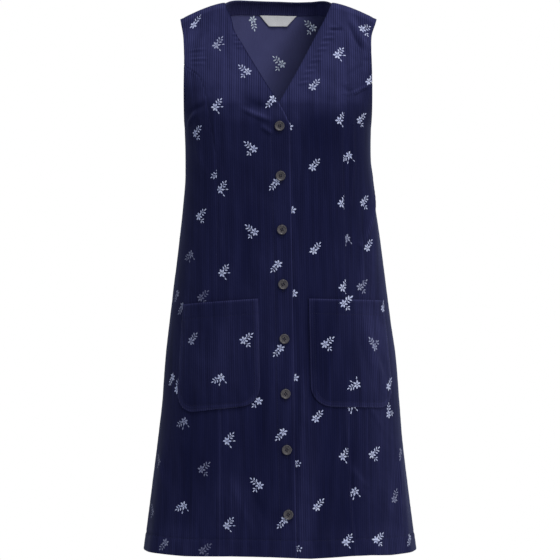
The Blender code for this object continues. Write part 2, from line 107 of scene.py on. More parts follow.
# One row for each level of the body: half the width seen from the front, how far the level hangs to the
# wearer's left, how far the middle of the front and of the back stand from the side seams, how far the
# armhole's edges reach forward and back, and the squareness of the section (2 is an ellipse).
Level = namedtuple("Level", "drop half_width sway front back arm_front arm_back square_front square_back")
BODY = table(Level, (), (
        (0, 175, -1.8, 12, 90, 12, 12, 2.4, 2.4), (36, 167.5, -3.8, 24, 93, 20, 24, 2.5, 2.4),
        (75, 165.8, -3.4, 44, 96.5, 39, 37, 2.7, 2.4), (100, 165.5, -2.8, 62, 99, 53, 45, 2.8, 2.4),
        (130, 165.5, -2.7, 88, 101.5, 64, 51, 2.8, 2.5), (160, 165.5, -2.7, 111, 103, 68, 53, 2.8, 2.7),
        (190, 165.3, -2.7, 125, 104, 65, 51, 3.0, 2.9), (226, 165, -3, 130, 103, 60, 48, 3.1, 3.0),
        (262, 164.2, -2.7, 129, 100, 0, 0, 3.0, 2.9), (310, 165, -1.8, 126, 95.5, 0, 0, 2.8, 2.7),
        (352, 169, -0.9, 124, 93.5, 0, 0, 2.6, 2.6), (423, 178, 0.6, 124, 97, 0, 0, 2.4, 2.4),
        (495, 187, 0.9, 127, 107, 0, 0, 2.3, 2.3), (566, 196, 1.1, 131, 118, 0, 0, 2.3, 2.3),
        (638, 205, 2.2, 135, 127, 0, 0, 2.3, 2.3), (709, 210.3, 2.4, 139, 134, 0, 0, 2.3, 2.3),
        (780, 217.2, 1.1, 143, 140.5, 0, 0, 2.3, 2.3), (852, 226, 0.8, 147, 147, 0, 0, 2.2, 2.2),
        (915, 234, 0.8, 151, 152.5, 0, 0, 2.2, 2.2), (977, 241.8, 0.9, 155.5, 158, 0, 0, 2.4, 2.2),
), shares=2)

# The V neck: where each front's edge lies, as x, down to the top of the overlap. The two edges cross.
NeckEdge = namedtuple("NeckEdge", "drop right left")
NECK = table(NeckEdge, (), (
        (0, -97.8, 93.7), (31, -85, 80.5), (50, -80.6, 70.4), (82, -63, 54.4), (154.5, -21.4, 16.9),
        (185, -2.4, -0.6), (204, 8.4, -12), (226, 18.5, -16),
))

# The princess seams, from the armhole to the hem: distance from the middle plane as seen from the front.
Seam = namedtuple("Seam", "drop x")
SEAMS = {
    RIGHT: table(Seam, (), (
        (110, 168.3), (123, 156), (138, 141), (165, 130.5), (200, 124), (250, 115.5), (310, 108.5),
        (600, 109.5), (740, 102), (977, 103),
    )),
    LEFT: table(Seam, (), (
        (148, 162.8), (157.5, 153), (165, 137), (173.5, 123), (188, 116), (216, 111.7), (280, 110.3),
        (360, 112.8), (510, 116), (720, 117.8), (854, 122.7), (977, 133),
    )),
}

# Soft ridges from one place to another, or troughs where the height is negative. Each eases in and out over
# its taper, or at its end over a taper of its own, and bends aside by its bow.
RIDGE_COLUMNS = "face x_top drop_top x_end drop_end half_width height taper bow end_taper"
Ridge = namedtuple("Ridge", RIDGE_COLUMNS, defaults=(0.0,))

# The largest folds, which the solids have too. Their x is the distance along the cloth. One that ends below
# the hem runs off it.
FOLDS = table(Ridge, (FRONT,), (
        (48, 640, 44, 990, 16, 4, 100, 0, 1), (200, 270, 178, 520, 20, 3.5, 100, 0),
        (-112, 800, -52, 960, 22, 4.5, 100, 0), (-220, 740, -245, 990, 22, 4.5, 100, 0, 1),
        (236, 760, 246, 990, 20, 5, 100, 0, 1),
)) + table(Ridge, (BACK,), (
        (-150, 600, -165, 990, 26, 5.5, 100, 0, 1), (-45, 660, -50, 990, 26, 5, 100, 0, 1),
        (62, 580, 70, 990, 28, 6, 100, 0, 1), (170, 640, 185, 990, 26, 5, 100, 0, 1),
        (-90, 300, 80, 345, 18, 3, 100, 0),
))

# Smaller creases, placed as they are seen from the front or from behind
SEEN_CREASES = table(Ridge, (FRONT,), (
        # drag lines from the bust to the first button
        (-72, 193, -8, 220.5, 4.6, 3.4, 24, 2), (-78, 172, -10, 203, 11, -3, 28, 2),
        (-34, 226, -10, 243, 4, 2.2, 10, 0),
        # from the armholes towards the bust
        (-140, 192, -162, 228, 5, 2.2, 20, -2), (-118, 178, -158, 206, 6, -2, 22, -2),
        (129, 198, 131.2, 312, 2.2, 2, 30, 1), (131, 284, 123.6, 386, 2.2, 2.1, 30, 1),
        (162, 280, 144, 445, 3.2, 2.6, 40, 2), (144.5, 405, 145, 520, 3, 3.2, 34, 1),
        (136, 426, 145, 441, 2.6, 1.4, 8, 0), (152, 330, 136.5, 500, 6, -1.6, 60, 1),
        (-148, 240, -126, 320, 7, 1.8, 40, 2), (60, 172, 118, 186, 9, -2.4, 30, 3),
        (122, 172, 158, 152, 3.2, 2.4, 12, 0), (106, 168, 123, 172, 2.6, 1.4, 7, 0),
        (112, 140, 150, 108, 5, -1.6, 16, 1),
        # over the wearer's left pocket and beside it
        (146, 560, 184, 690, 7.5, 3, 50, 3), (134, 575, 168, 690, 7, -2, 50, 2),
        # beside the placket, down the skirt
        (41, 640, 37, 1020, 4.5, 2.4, 60, 2), (54, 500, 53, 760, 8, -2.6, 70, 0),
        (-52, 340, -58, 520, 11, -1.8, 60, 3), (-30, 600, -34, 830, 12, -1.6, 80, 2),
        # diagonals at the hem
        (-92, 820, -36, 945, 7, 1.3, 50, 3), (-66, 800, -16, 930, 8, -1.5, 50, 3),
        (208.5, 790, 212, 955, 3.4, 2.8, 40, 2), (122, 815, 158, 860, 4.2, 1.6, 20, 3),
        (150, 712, 182, 760, 4.8, 1.6, 20, -3), (118, 800, 150, 880, 8, 2, 35, 2),
        (-208, 800, -196, 870, 7, 2.2, 35, 1), (-150, 640, -168, 980, 12, -2.4, 90, 2),
        (120, 740, 128, 1020, 12, -2.2, 90, 2),
        # below the shoulders
        (120, 22, 153, 86, 4.6, -4, 22, 3), (129, 14, 164, 78, 5.2, 2.8, 22, 3),
        (86, 51.5, 116, 46, 4, -3, 10, 0), (140, 104, 166, 96, 5, -1.8, 12, 1),
        (-134, 40, -160, 78, 5.5, -1.6, 22, -2), (-120, 46, -150, 88, 5, 1.2, 24, -2),
        (100, 150, 128, 168, 4, -1.2, 14, 1),
)) + table(Ridge, (BACK,), (
        # from the armholes, across the waist and down the skirt
        (-135, 170, -85, 215, 7, -2, 30, 3), (140, 165, 92, 208, 6.5, -2.2, 30, -3),
        (-148, 215, -105, 262, 6, 2, 28, 2), (150, 220, 98, 258, 6.5, 1.8, 28, -2),
        (-60, 325, 30, 342, 7, -2.2, 35, 3), (-20, 362, 85, 352, 6.5, 1.8, 35, 3),
        (-118, 372, -40, 388, 8, -1.6, 35, -3), (0, 500, 6, 960, 14, -3, 120, 4),
        (-96, 560, -112, 1020, 13, -3.4, 120, 3), (112, 600, 126, 1020, 13, -3.2, 120, -3),
        (186, 500, 206, 900, 8, 2.2, 80, 2), (-186, 460, -205, 800, 8, 2, 80, -2),
))

# Rows of short puckers beside the neck edges, from the first to the last. Their heights follow PUCKER_SHARES.
PUCKER_COLUMNS = "x_first drop_first x_last drop_last reach_x reach_drop half_width height count"
Puckers = namedtuple("Puckers", PUCKER_COLUMNS)
PUCKERS = table(Puckers, (), (
        (85, 47.5, 30, 153, 24, -2.5, 2.4, 2.4, 11), (-68, 60, -62, 84, -18, 0.5, 2, 1.8, 4),
        (-163, 80, -160, 110, 36, 4, 2.6, 1.8, 4), (112, 154, 128, 170, 12, -4, 2.2, 0.7, 3),
), shares=1)
PUCKER_SHARES = (1.0, 0.6, 1.2, 0.8, 1.0, 0.5, 1.1, 0.7, 0.9, 0.6)


# ---- the garment surface


def unit(value):
    """A value kept between 0 and 1."""
    return np.clip(value, 0.0, 1.0)


def ease(share):
    """0 to 1 with a soft start and end."""
    share = unit(share)
    return share * share * (3.0 - 2.0 * share)


def bump(distance, half_width):
    """1 at no distance, falling away softly."""
    return np.exp(-((distance / half_width) ** 2))


def curve(rows, column, drop):
    """A table's column at any drop, on a smooth curve through its rows that never overshoots them."""
    levels = np.array([row.drop for row in rows])
    values = np.array([getattr(row, column) for row in rows])
    step = np.diff(levels)
    rise = np.diff(values) / step
    slope = np.concatenate([rise[:1], np.zeros(len(rise) - 1), rise[-1:]])
    both = rise[1:] * rise[:-1]
    total = rise[1:] + rise[:-1]
    slope[1:-1] = np.where(both > 0.0, 2.0 * both / np.where(total == 0.0, 1.0, total), 0.0)
    at = np.clip(drop, levels[0], levels[-1])
    k = np.clip(np.searchsorted(levels, at, side="right") - 1, 0, len(step) - 1)
    t = (at - levels[k]) / step[k]
    start = values[k] * (1 + 2 * t) * (1 - t) ** 2 + slope[k] * step[k] * t * (1 - t) ** 2
    end = values[k + 1] * t * t * (3 - 2 * t) - slope[k + 1] * step[k] * t * t * (1 - t)
    return start + end


def shoulder_arch(drop):
    """How far the cloth stands from the shoulder seam just below it: a quarter round."""
    share = unit(1.0 - drop / SHOULDER_ROUND)
    return SHOULDER_ROUND * np.sqrt(1.0 - share * share)


def shoulder_line(face, x):
    """How far the top edge lies below the origin at x."""
    out = np.clip((np.abs(x) - NECK_HALF) / (SHOULDER_HALF - NECK_HALF), 0.0, PAST_SHOULDER)
    rise = BACK_NECK_RISE * unit(1.0 - (x / NECK_HALF) ** BACK_NECK_FLATNESS)
    return SHOULDER_SLOPE * out**SHOULDER_BOW - (rise if face == BACK else 0.0)


def armhole_reach(face, drop):
    """How far the armhole's edge stands forward (or back) of the side seam."""
    reach = curve(BODY, "arm_" + FACE_WORD[face], np.minimum(drop, UNDERARM))
    reach = reach - SHOULDER_ROUND + shoulder_arch(drop)
    share = unit((drop - UNDERARM + UNDERARM_ROUND) / UNDERARM_ROUND)
    return reach * np.sqrt(1.0 - share * share)


def half_width(face, drop):
    spread = BACK_ARMHOLE_SPREAD * np.sin(np.pi * unit(drop / UNDERARM))
    return curve(BODY, "half_width", drop) + (spread if face == BACK else 0.0)


# What one level of the garment needs, worked out once for each drop. Its values may be whole columns.
Section = namedtuple("Section", "face drop power depth last half_width arch neck_share blend")


def section(face, drop):
    """The level at a drop: part of a squared ellipse, cut where the armhole's edge stands from the seam."""
    power = 2.0 / curve(BODY, "square_" + FACE_WORD[face], drop)
    depth = curve(BODY, FACE_WORD[face], drop)
    arch = shoulder_arch(drop)
    if face == FRONT:
        depth = depth - SHOULDER_ROUND + arch
    cut = np.clip(armhole_reach(face, drop) / np.maximum(depth, NUDGE), 0.0, DEEPEST_CUT)
    last = np.arccos(cut ** (1.0 / power))
    near_neck = unit(1.0 - drop / BACK_NECK_BLEND) ** BACK_NECK_SOFTNESS
    blend = 1.0 - ease(drop / SHOULDER_BLEND)
    return Section(face, drop, power, depth, last, half_width(face, drop), arch, near_neck, blend)


def ring_point(level, turn):
    """Point of a level. The turn runs from 0 in the middle to 1 at the armhole or side seam."""
    x = level.half_width * (np.sin(turn * level.last) / np.sin(level.last)) ** level.power
    y = level.depth * np.cos(turn * level.last) ** level.power
    if level.face == BACK:
        neck = unit(1.0 - (x / NECK_HALF) ** NECK_SQUARENESS) ** (1.0 / NECK_SQUARENESS)
        y = level.neck_share * (BACK_NECK_DEPTH * neck + level.arch) + (1.0 - level.neck_share) * y
    z = -(level.drop + shoulder_line(level.face, x) * level.blend)
    return np.stack([x, level.face * (y + SIDE_CLOSE), z + np.zeros_like(x)], axis=-1)


def ring(face, drop):
    """Turns, points and running length of each level, from the middle to the side."""
    share = np.linspace(0.0, 1.0, RING_STEPS + 1)
    turn = (1.0 - np.cos(np.pi * share)) / 2
    points = ring_point(section(face, drop[:, None]), turn[None, :])
    length = np.linalg.norm(np.diff(points, axis=1), axis=2)
    running = np.concatenate([np.zeros((len(length), 1)), np.cumsum(length, axis=1)], axis=1)
    return turn, points, running


def side_length(face, drop):
    """Distance along the cloth from the middle to the armhole's edge or the side seam."""
    drop = np.asarray(drop, float)
    return ring(face, drop.ravel())[2][:, -1].reshape(drop.shape)


def across_at(face, x, drop):
    """Distance along the cloth from the middle to the place that lies at x."""
    x, drop = np.broadcast_arrays(np.asarray(x, float), np.asarray(drop, float))
    flat_x = (x - curve(BODY, "sway", drop)).ravel()
    _, points, running = ring(face, drop.ravel())
    found = [np.interp(abs(at), line[:, 0], run) for at, line, run in zip(flat_x, points, running)]
    return (np.sign(flat_x) * np.array(found)).reshape(x.shape)


def base(face, across, drop):
    """Points of the smooth garment surface, for rows of across-distances, each row at its own drop."""
    turns, _, running = ring(face, drop)
    turn = np.array([np.interp(np.abs(row), run, turns) for row, run in zip(across, running)])
    point = ring_point(section(face, drop[:, None]), turn)
    point[..., 0] = point[..., 0] * np.where(across < 0.0, -1.0, 1.0) + curve(BODY, "sway", drop)[:, None]
    return point


def outward(face, across, drop):
    """Unit normals of the garment surface, pointing out of the dress."""
    limit = side_length(face, drop)[:, None]
    west = base(face, np.maximum(across - NUDGE, -limit), drop)
    east = base(face, np.minimum(across + NUDGE, limit), drop)
    north = base(face, across, np.maximum(drop - NUDGE, 0.0))
    south = base(face, across, drop + NUDGE)
    normal = np.cross(east - west, south - north) * face
    return normal / np.linalg.norm(normal, axis=-1, keepdims=True)


def laid_creases():
    """The creases and puckers, with their two ends given along the cloth in place of as seen."""
    rows = list(SEEN_CREASES)
    for group in PUCKERS:
        for k in range(group.count):
            share = k / (group.count - 1)
            x = group.x_first + (group.x_last - group.x_first) * share
            drop = group.drop_first + (group.drop_last - group.drop_first) * share
            size = PUCKER_SHARES[k % len(PUCKER_SHARES)]
            reach = group.reach_x * (0.7 + 0.3 * size)
            path = (x, drop, x + reach, drop + group.reach_drop)
            rows.append(Ridge(FRONT, *path, group.half_width, group.height * size, abs(reach) / 3, 0.0))
    laid = []
    for row in rows:
        top = float(across_at(row.face, row.x_top, row.drop_top))
        end = float(across_at(row.face, row.x_end, min(row.drop_end, LENGTH)))
        laid.append(row._replace(x_top=top, x_end=end))
    return laid


CREASES = laid_creases()


def ridges(rows, face, across, drop):
    """How far folds and creases push the cloth out here."""
    height = np.zeros(np.broadcast(across, drop).shape)
    for row in rows:
        if row.face == face:
            run = np.array([row.x_end - row.x_top, row.drop_end - row.drop_top])
            span = float(np.hypot(*run))
            along = ((across - row.x_top) * run[0] + (drop - row.drop_top) * run[1]) / span
            aside = ((drop - row.drop_top) * run[0] - (across - row.x_top) * run[1]) / span
            aside = aside - row.bow * np.sin(np.pi * unit(along / span))
            taper = ease(along / row.taper) * ease((span - along) / (row.end_taper or row.taper))
            height += row.height * taper * bump(aside, row.half_width)
    return height


# ---- seams, edges and what they do to the cloth


def down_opening(drop):
    return unit((drop - OVERLAP_TOP) / (LENGTH - OVERLAP_TOP))


def button_line(drop):
    """Across-distance of the buttons: the opening turns to the wearer's left towards the hem."""
    return SKIRT_TURN * down_opening(drop) - curve(BODY, "sway", drop)


def front_edge(side, drop):
    """Across-distance of a centre front's free edge: the V neck, then the overlap or the underlap."""
    neck = across_at(FRONT, curve(NECK, SIDE_WORD[side], drop), drop)
    overlap = OVERLAP_REACH + (OVERLAP_REACH_HEM - OVERLAP_REACH) * down_opening(drop)
    below = button_line(drop) + (overlap if side == RIGHT else -UNDERLAP_REACH)
    return np.where(drop < OVERLAP_TOP, neck, below)


def princess_seam(side, drop):
    """Across-distance of the princess seam, without its sign. Above its start it is the armhole's edge."""
    limit = side_length(FRONT, drop)
    seam = side * across_at(FRONT, side * curve(SEAMS[side], "x", drop), drop)
    seam = np.minimum(seam, limit - SEAM_START)
    return np.where(drop < SEAMS[side][0].drop, limit, seam)


def seam_margin(side, drop):
    """Half the gap at the princess seam, measured across: wider where the seam runs aslant."""
    slant = (princess_seam(side, drop + NUDGE) - princess_seam(side, drop - NUDGE)) / (2 * NUDGE)
    slant = np.minimum(np.abs(slant), STEEPEST_SLANT)
    return SEAM_CLOSE / 2 * (1.0 + slant)


def lap_lift(side, across):
    """The overlap lies half a layer out and the underlap half a layer in. Both ease back to the surface."""
    if side == RIGHT:
        return LAYER / 2 * ease((across + UNDERLAP_REACH + LAP_BLEND) / LAP_BLEND)
    reach = OVERLAP_REACH + SKIRT_TURN
    return -LAYER / 2 * ease((reach + LAP_BLEND - across) / LAP_BLEND)


# ---- relief of the seams, hems and stitched lines

# Depth or height, and half width, of what sewing does to the cloth, and the lengths of its two waves
SLOW_PULL = 0.061
FAST_PULL = 0.0213
SEAM_VALLEY = (0.0004, 0.0022)
SEAM_RIDGE = 0.0004
SEAM_RIDGE_SIDE = 0.0003
SEAM_RIDGE_AT = 0.0055
SEAM_RIDGE_WIDTH = 0.0032
EDGE_FALL = (0.0004, 0.0016)
HEM_GROOVE = (0.0007, 0.0020)
HEM_DEPTH = 0.031
HEM_LIFT = 0.0004
HEM_FADE = 0.004
PLACKET_STITCH = -0.0145
PLACKET_GROOVE = (0.0006, 0.0018)
PLACKET_FADE = 0.01
ARMHOLE_STITCH_IN = 0.0065
ARMHOLE_GROOVE = (0.0005, 0.0016)
SIDE_SEAM_FADE = 0.006
PRINCESS_SEAM_FADE = 0.010
POCKET_HEIGHT = 0.187
POCKET_CORNER = 0.036
POCKET_LIFT = LAYER + 0.0006
POCKET_PRESSED = (0.0007, 0.0030)
POCKET_GROOVE = (0.0004, 0.0016)
POCKET_HEM = 0.026
POCKET_HEM_GROOVE = (0.0005, 0.0016)
POCKET_STITCH_OUTER = 0.0018
POCKET_STITCH_INNER = 0.0090
POCKET_MOUTH_SLACK = 0.0014
POCKET_MIDDLE_SLACK = 0.0007
POCKET_MOUTH_DEPTH = 0.10
FACING_TOP = 0.0008
FACING_DEPTH = 0.023
FACING_WALL = 0.001
FACING_LIFT = -(CLOTH / 2 + SEAM_GAP + FACING_WALL / 2)
LABEL_LIFT = FACING_LIFT - 0.0005
LABEL_MIDDLE = 0.0010
LABEL_TOP_HALF = 0.034
LABEL_BOTTOM_HALF = 0.0165
LABEL_HEIGHT = 0.0185

Pocket = namedtuple("Pocket", "side top tilt inner width flare")
POCKETS = {
    "pocket_right": Pocket(RIGHT, 0.527, 0.011, 0.044, 0.146, 0.014),
    "pocket_left": Pocket(LEFT, 0.527, 0.004, 0.044, 0.156, 0.010),
}


def face_of(panel):
    return BACK if panel == "back" else FRONT


def side_of(panel):
    return RIGHT if panel.endswith("right") else LEFT


def tightness(drop):
    """How hard the thread pulls along a seam: uneven short waves between about 0.6 and 1.4."""
    slow = np.sin(2 * np.pi * drop / SLOW_PULL + 1.3)
    fast = np.sin(2 * np.pi * drop / FAST_PULL + 2.1 * slow)
    return 1.0 + 0.26 * fast + 0.14 * slow


def groove(distance, drop, depth, width):
    return -depth * tightness(drop) * bump(distance, width)


def edge_relief(distance, down, start, fade, ridge):
    """A panel's outer edge: an armhole with a stitched groove above the start of its seam. Below, the cloth
    sinks into the seam and stands a little over the turned allowance beside it."""
    sewn = ease((down - start) / fade)
    allowance = ridge * tightness(down) * bump(distance - SEAM_RIDGE_AT, SEAM_RIDGE_WIDTH)
    armhole = groove(distance - ARMHOLE_STITCH_IN, down, *ARMHOLE_GROOVE)
    return sewn * (groove(distance, down, *SEAM_VALLEY) + allowance) + (1.0 - sewn) * armhole


def placket_line(drop):
    """Across-distance of the row of stitches that holds the placket's turned edge."""
    return button_line(drop) + PLACKET_STITCH


def pocket_flare(row, down):
    """How much wider a pocket is below its mouth."""
    return row.flare * down / POCKET_HEIGHT


def pocket_middle(row, down):
    """Distance of a pocket's middle from the button line."""
    return row.inner + (row.width + pocket_flare(row, down)) / 2


def place_in_pocket(row, across, drop):
    """How far down the pocket a place lies, and how far from its middle, minus towards the opening."""
    middle_line = button_line(drop) + row.side * (row.inner + row.width / 2)
    aside = row.side * (across - middle_line)
    down = drop - row.top - row.tilt * (aside + row.width / 2) / row.width
    return down, aside - pocket_flare(row, down) / 2


def pocket_half(row, down):
    """Half the width of a pocket at a distance below its mouth, narrower in its round corners."""
    into_corner = np.clip(POCKET_CORNER - (POCKET_HEIGHT - down), 0.0, POCKET_CORNER)
    half = (row.width + pocket_flare(row, down)) / 2
    return half - POCKET_CORNER + np.sqrt(POCKET_CORNER**2 - into_corner**2)


def pocket_edge(row, across, drop):
    """How far a place lies inside the pocket's sewn edges, how far down it is and how far aside."""
    down, middle = place_in_pocket(row, across, drop)
    half = (row.width + pocket_flare(row, down)) / 2
    edge = np.minimum(half - np.abs(middle), POCKET_HEIGHT - down)
    corner_x = np.maximum(np.abs(middle) - (half - POCKET_CORNER), 0.0)
    corner_y = np.maximum(down - (POCKET_HEIGHT - POCKET_CORNER), 0.0)
    in_corner = (corner_x > 0.0) & (corner_y > 0.0)
    edge = np.where(in_corner, POCKET_CORNER - np.hypot(corner_x, corner_y), edge)
    return np.maximum(edge, 0.0), down, middle / half


def pocket_relief(row, across, drop):
    """Edges held down by the stitches, and a mouth that stands off."""
    edge, down, share = pocket_edge(row, across, drop)
    height = groove(edge - POCKET_STITCH_INNER, drop, *POCKET_GROOVE)
    height = height + groove(down - POCKET_HEM, across * 1.7, *POCKET_HEM_GROOVE)
    height = height - POCKET_PRESSED[0] * bump(edge, POCKET_PRESSED[1])
    rise = unit(1.0 - share**2)
    slack = unit(1.0 - down / POCKET_MOUTH_DEPTH)
    return height + rise * (POCKET_MOUTH_SLACK * slack + POCKET_MIDDLE_SLACK)


def relief(panel, across, drop):
    """How far a panel's cloth stands off the smooth garment surface. Across is a table, drop one per row."""
    face, side = face_of(panel), side_of(panel)
    down = drop[:, None]
    hem = LENGTH - down
    height = ridges(FOLDS + CREASES, face, across, down)
    height = height + groove(hem - HEM_DEPTH, across * 2.3, *HEM_GROOVE)
    height = height + HEM_LIFT * ease((HEM_DEPTH - hem) / HEM_FADE)
    if panel in POCKETS:
        return height + POCKET_LIFT + pocket_relief(POCKETS[panel], across, down)
    if panel == "back":
        distance = side_length(BACK, drop)[:, None] - np.abs(across)
        return height + edge_relief(distance, down, UNDERARM, SIDE_SEAM_FADE, SEAM_RIDGE)
    seam = princess_seam(side, drop)[:, None]
    start = SEAMS[side][0].drop
    if panel.startswith("side_front"):
        outer = side_length(FRONT, drop)[:, None] - side * across
        height = height + edge_relief(side * across - seam, down, -1.0, 1.0, SEAM_RIDGE_SIDE)
        return height + edge_relief(outer, down, UNDERARM, SIDE_SEAM_FADE, SEAM_RIDGE_SIDE)
    height = height + edge_relief(seam - side * across, down, start, PRINCESS_SEAM_FADE, SEAM_RIDGE)
    height = height + lap_lift(side, across)
    height = height - EDGE_FALL[0] * bump(across - front_edge(side, drop)[:, None], EDGE_FALL[1])
    if side == RIGHT:
        stitched = ease((down - OVERLAP_TOP) / PLACKET_FADE) * ease(hem / PLACKET_FADE)
        height = height + stitched * groove(across - placket_line(drop)[:, None], down, *PLACKET_GROOVE)
    return height


# How much higher the hem hangs than its level, and how much lower the back neck dips: x and distance, in
# millimetres
HEM_RISE = {
    FRONT: (
    (-240, 4.2), (-205, 3.6), (-165, 2.8), (-125, 4), (-85, 5), (-50, 4.8), (-15, 4.2), (20, 2.8),
    (55, 1.5), (90, 2.8), (125, 4.7), (160, 4.8), (195, 2.8), (240, 4),
    ),
    BACK: (
    (-240, 4.2), (-180, 0.6), (-60, 0), (80, 0), (180, 0.6), (240, 4),
    ),
}
NECK_DIP = (
    (-85, 0), (-40, 0.4), (0, 1.2), (30, 2.6), (60, 2.8), (88, 0),
)
HEM_BLEND = 0.070
NECK_BLEND = 0.060


def hang(face, points, drop):
    """Lets the hem and the back neck run a little uneven."""
    low = ease((drop - LENGTH + HEM_BLEND) / HEM_BLEND)
    x, rise = np.array(HEM_RISE[face]).T / 1000
    points[..., 2] += low * np.interp(points[..., 0], x, rise)
    if face == BACK:
        x, dip = np.array(NECK_DIP).T / 1000
        points[..., 2] -= ease(1.0 - drop / NECK_BLEND) * np.interp(points[..., 0], x, dip)
    return points


def on_cloth(panel, across, drop, lift=0.0):
    """Points on a panel, and the way that each faces. Across is a table, drop one per row."""
    face = face_of(panel)
    out = outward(face, across, drop)
    height = relief(panel, across, drop) + lift
    points = base(face, across, drop) + out * height[..., None]
    return hang(face, points, drop[:, None]), out


def scattered(panel, across, drop, lift=0.0):
    """Points on a panel at places given one by one, and the way that each faces."""
    lift = np.broadcast_to(np.asarray(lift, float), across.shape)
    points, out = on_cloth(panel, across.reshape(-1, 1), drop.ravel(), lift.reshape(-1, 1))
    return points.reshape(*across.shape, 3), out.reshape(*across.shape, 3)


# ---- making meshes


def placed(name, data):
    """A new object in the scene, at the origin."""
    made = bpy.data.objects.new(name, data)
    bpy.context.scene.collection.objects.link(made)
    return made


def mesh_from(name, bm):
    mesh = bpy.data.meshes.new(name)
    bm.to_mesh(mesh)
    bm.free()
    return mesh


def mesh_object(name, bm, finish, smooth=True):
    made = placed(name, mesh_from(name, bm))
    if smooth:
        made.data.shade_smooth()
    made.data.materials.append(finish)
    return made


def grid_mesh(name, points):
    """A grid laid on a table of points, and the row and column of each of its vertices."""
    rows, columns = points.shape[:2]
    bm = bmesh.new()
    bmesh.ops.create_grid(bm, x_segments=columns - 1, y_segments=rows - 1, size=0.5)
    bmesh.ops.recalc_face_normals(bm, faces=bm.faces)
    mesh = mesh_from(name, bm)
    flat = np.empty(rows * columns * 3)
    mesh.vertices.foreach_get("co", flat)
    flat = flat.reshape(-1, 3)
    column = np.rint((flat[:, 0] + 0.5) * (columns - 1)).astype(int)
    row = np.rint((0.5 - flat[:, 1]) * (rows - 1)).astype(int)
    mesh.vertices.foreach_set("co", points[row, column].ravel())
    return mesh, row, column


def write_cloth(mesh, uv, name, values):
    """A mesh's cloth coordinates and one more value, given for each of its points."""
    loops = np.empty(len(mesh.loops), int)
    mesh.loops.foreach_get("vertex_index", loops)
    mesh.uv_layers.new(name="cloth").data.foreach_set("uv", uv[loops].astype(np.float32).ravel())
    mesh.attributes.new(name, "FLOAT", "POINT").data.foreach_set("value", values.astype(np.float32))


def shell(name, points, out, uv, nap_and_light, wall, finishes):
    """A cloth piece on a table of points that faces out, with the wrong side as its second finish."""
    mesh, row, column = grid_mesh(name, points)
    write_cloth(mesh, uv[row, column], "nap_and_light", nap_and_light[row, column])
    mesh.update()
    middle = mesh.polygons[len(mesh.polygons) // 2]
    nearest = np.argmin(np.linalg.norm(points.reshape(-1, 3) - np.array(middle.center), axis=1))
    if middle.normal.dot(Vector(out.reshape(-1, 3)[nearest])) < 0.0:
        mesh.flip_normals()
    mesh.shade_smooth()
    for finish in finishes:
        mesh.materials.append(finish)
    made = placed(name, mesh)
    thick = made.modifiers.new("wall", "SOLIDIFY")
    thick.thickness = wall
    thick.offset = 0.0
    thick.material_offset = len(finishes) - 1
    return made


def settle(piece, node=None):
    """Ties a piece to the dress, and hides the solid that it stands for."""
    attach(piece, BODY_NAME)
    if node is not None:
        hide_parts(node)
    return piece


TURNED_EDGE = 0.0009
CHEST_STEP = 0.0019
SKIRT_STEP = 0.0032
CHEST_END = 0.250
MARK_GAP = 0.0008
ROW_GAP = 0.0004


def spaced(start, end, count, narrow=TURNED_EDGE):
    """Even steps from start to end (one row each), with a narrow step at either end for a turned edge."""
    lead = np.clip(narrow / np.maximum(np.abs(end - start), 1e-6), 0.0, 0.2)[:, None]
    share = lead + np.linspace(0.0, 1.0, count - 2)[None, :] * (1.0 - 2.0 * lead)
    share = np.concatenate([np.zeros_like(lead), share, np.ones_like(lead)], axis=1)
    return start[:, None] + (end - start)[:, None] * share


def rows_between(top, *marks):
    """Drops of a panel's rows: close in the chest, wider below, with every mark among them."""
    arch = SHOULDER_ROUND * (1.0 - np.cos(np.radians((6, 14, 24, 36, 50, 66, 82))))
    under = UNDERARM - UNDERARM_ROUND * (1.0 - np.sin(np.radians((20, 40, 56, 70, 80, 86))))
    hem = LENGTH - np.array([0.0, TURNED_EDGE, HEM_DEPTH - 0.0012, HEM_DEPTH, HEM_DEPTH + 0.0012])
    marks = np.concatenate([arch, under, hem, np.array(marks, float), [top, UNDERARM]])
    marks = marks[(marks >= top) & (marks <= LENGTH)]
    free = np.concatenate([np.arange(top, CHEST_END, CHEST_STEP), np.arange(CHEST_END, LENGTH, SKIRT_STEP)])
    free = free[np.abs(free[:, None] - marks[None, :]).min(axis=1) > MARK_GAP]
    return np.unique(np.round(np.concatenate([free, marks]), 6))


# ---- how pale the pile looks: mostly painted light and shade

PILE_LEAST = 0.14
TOP_LIGHT_PAINTED = 0.38
FULLY_UP = 0.55
CREASE_STEP = 0.0008
CREASE_TALL = 0.002
CREASE_SLOPE_SHADE = 0.30
CREASE_CREST_LIGHT = 0.09

# How strongly edges and seams change the pile, and half the width of each such line
# painted shade where the neck's edge rolls, painted highlight along the seams and the opening
NECK_SHADE = {RIGHT: 0.50, LEFT: 0.12}
NECK_ROLL = 0.0022
NECK_ROLL_END = 0.190
SEAM_HIGHLIGHT = 0.20
SEAM_HIGHLIGHT_WIDTH = 0.0013
SKIRT_HIGHLIGHT_TOP = 0.700
OPENING_HIGHLIGHT = 0.30
OPENING_HIGHLIGHT_WIDTH = 0.0014
POCKET_EDGE_HIGHLIGHT = 0.50
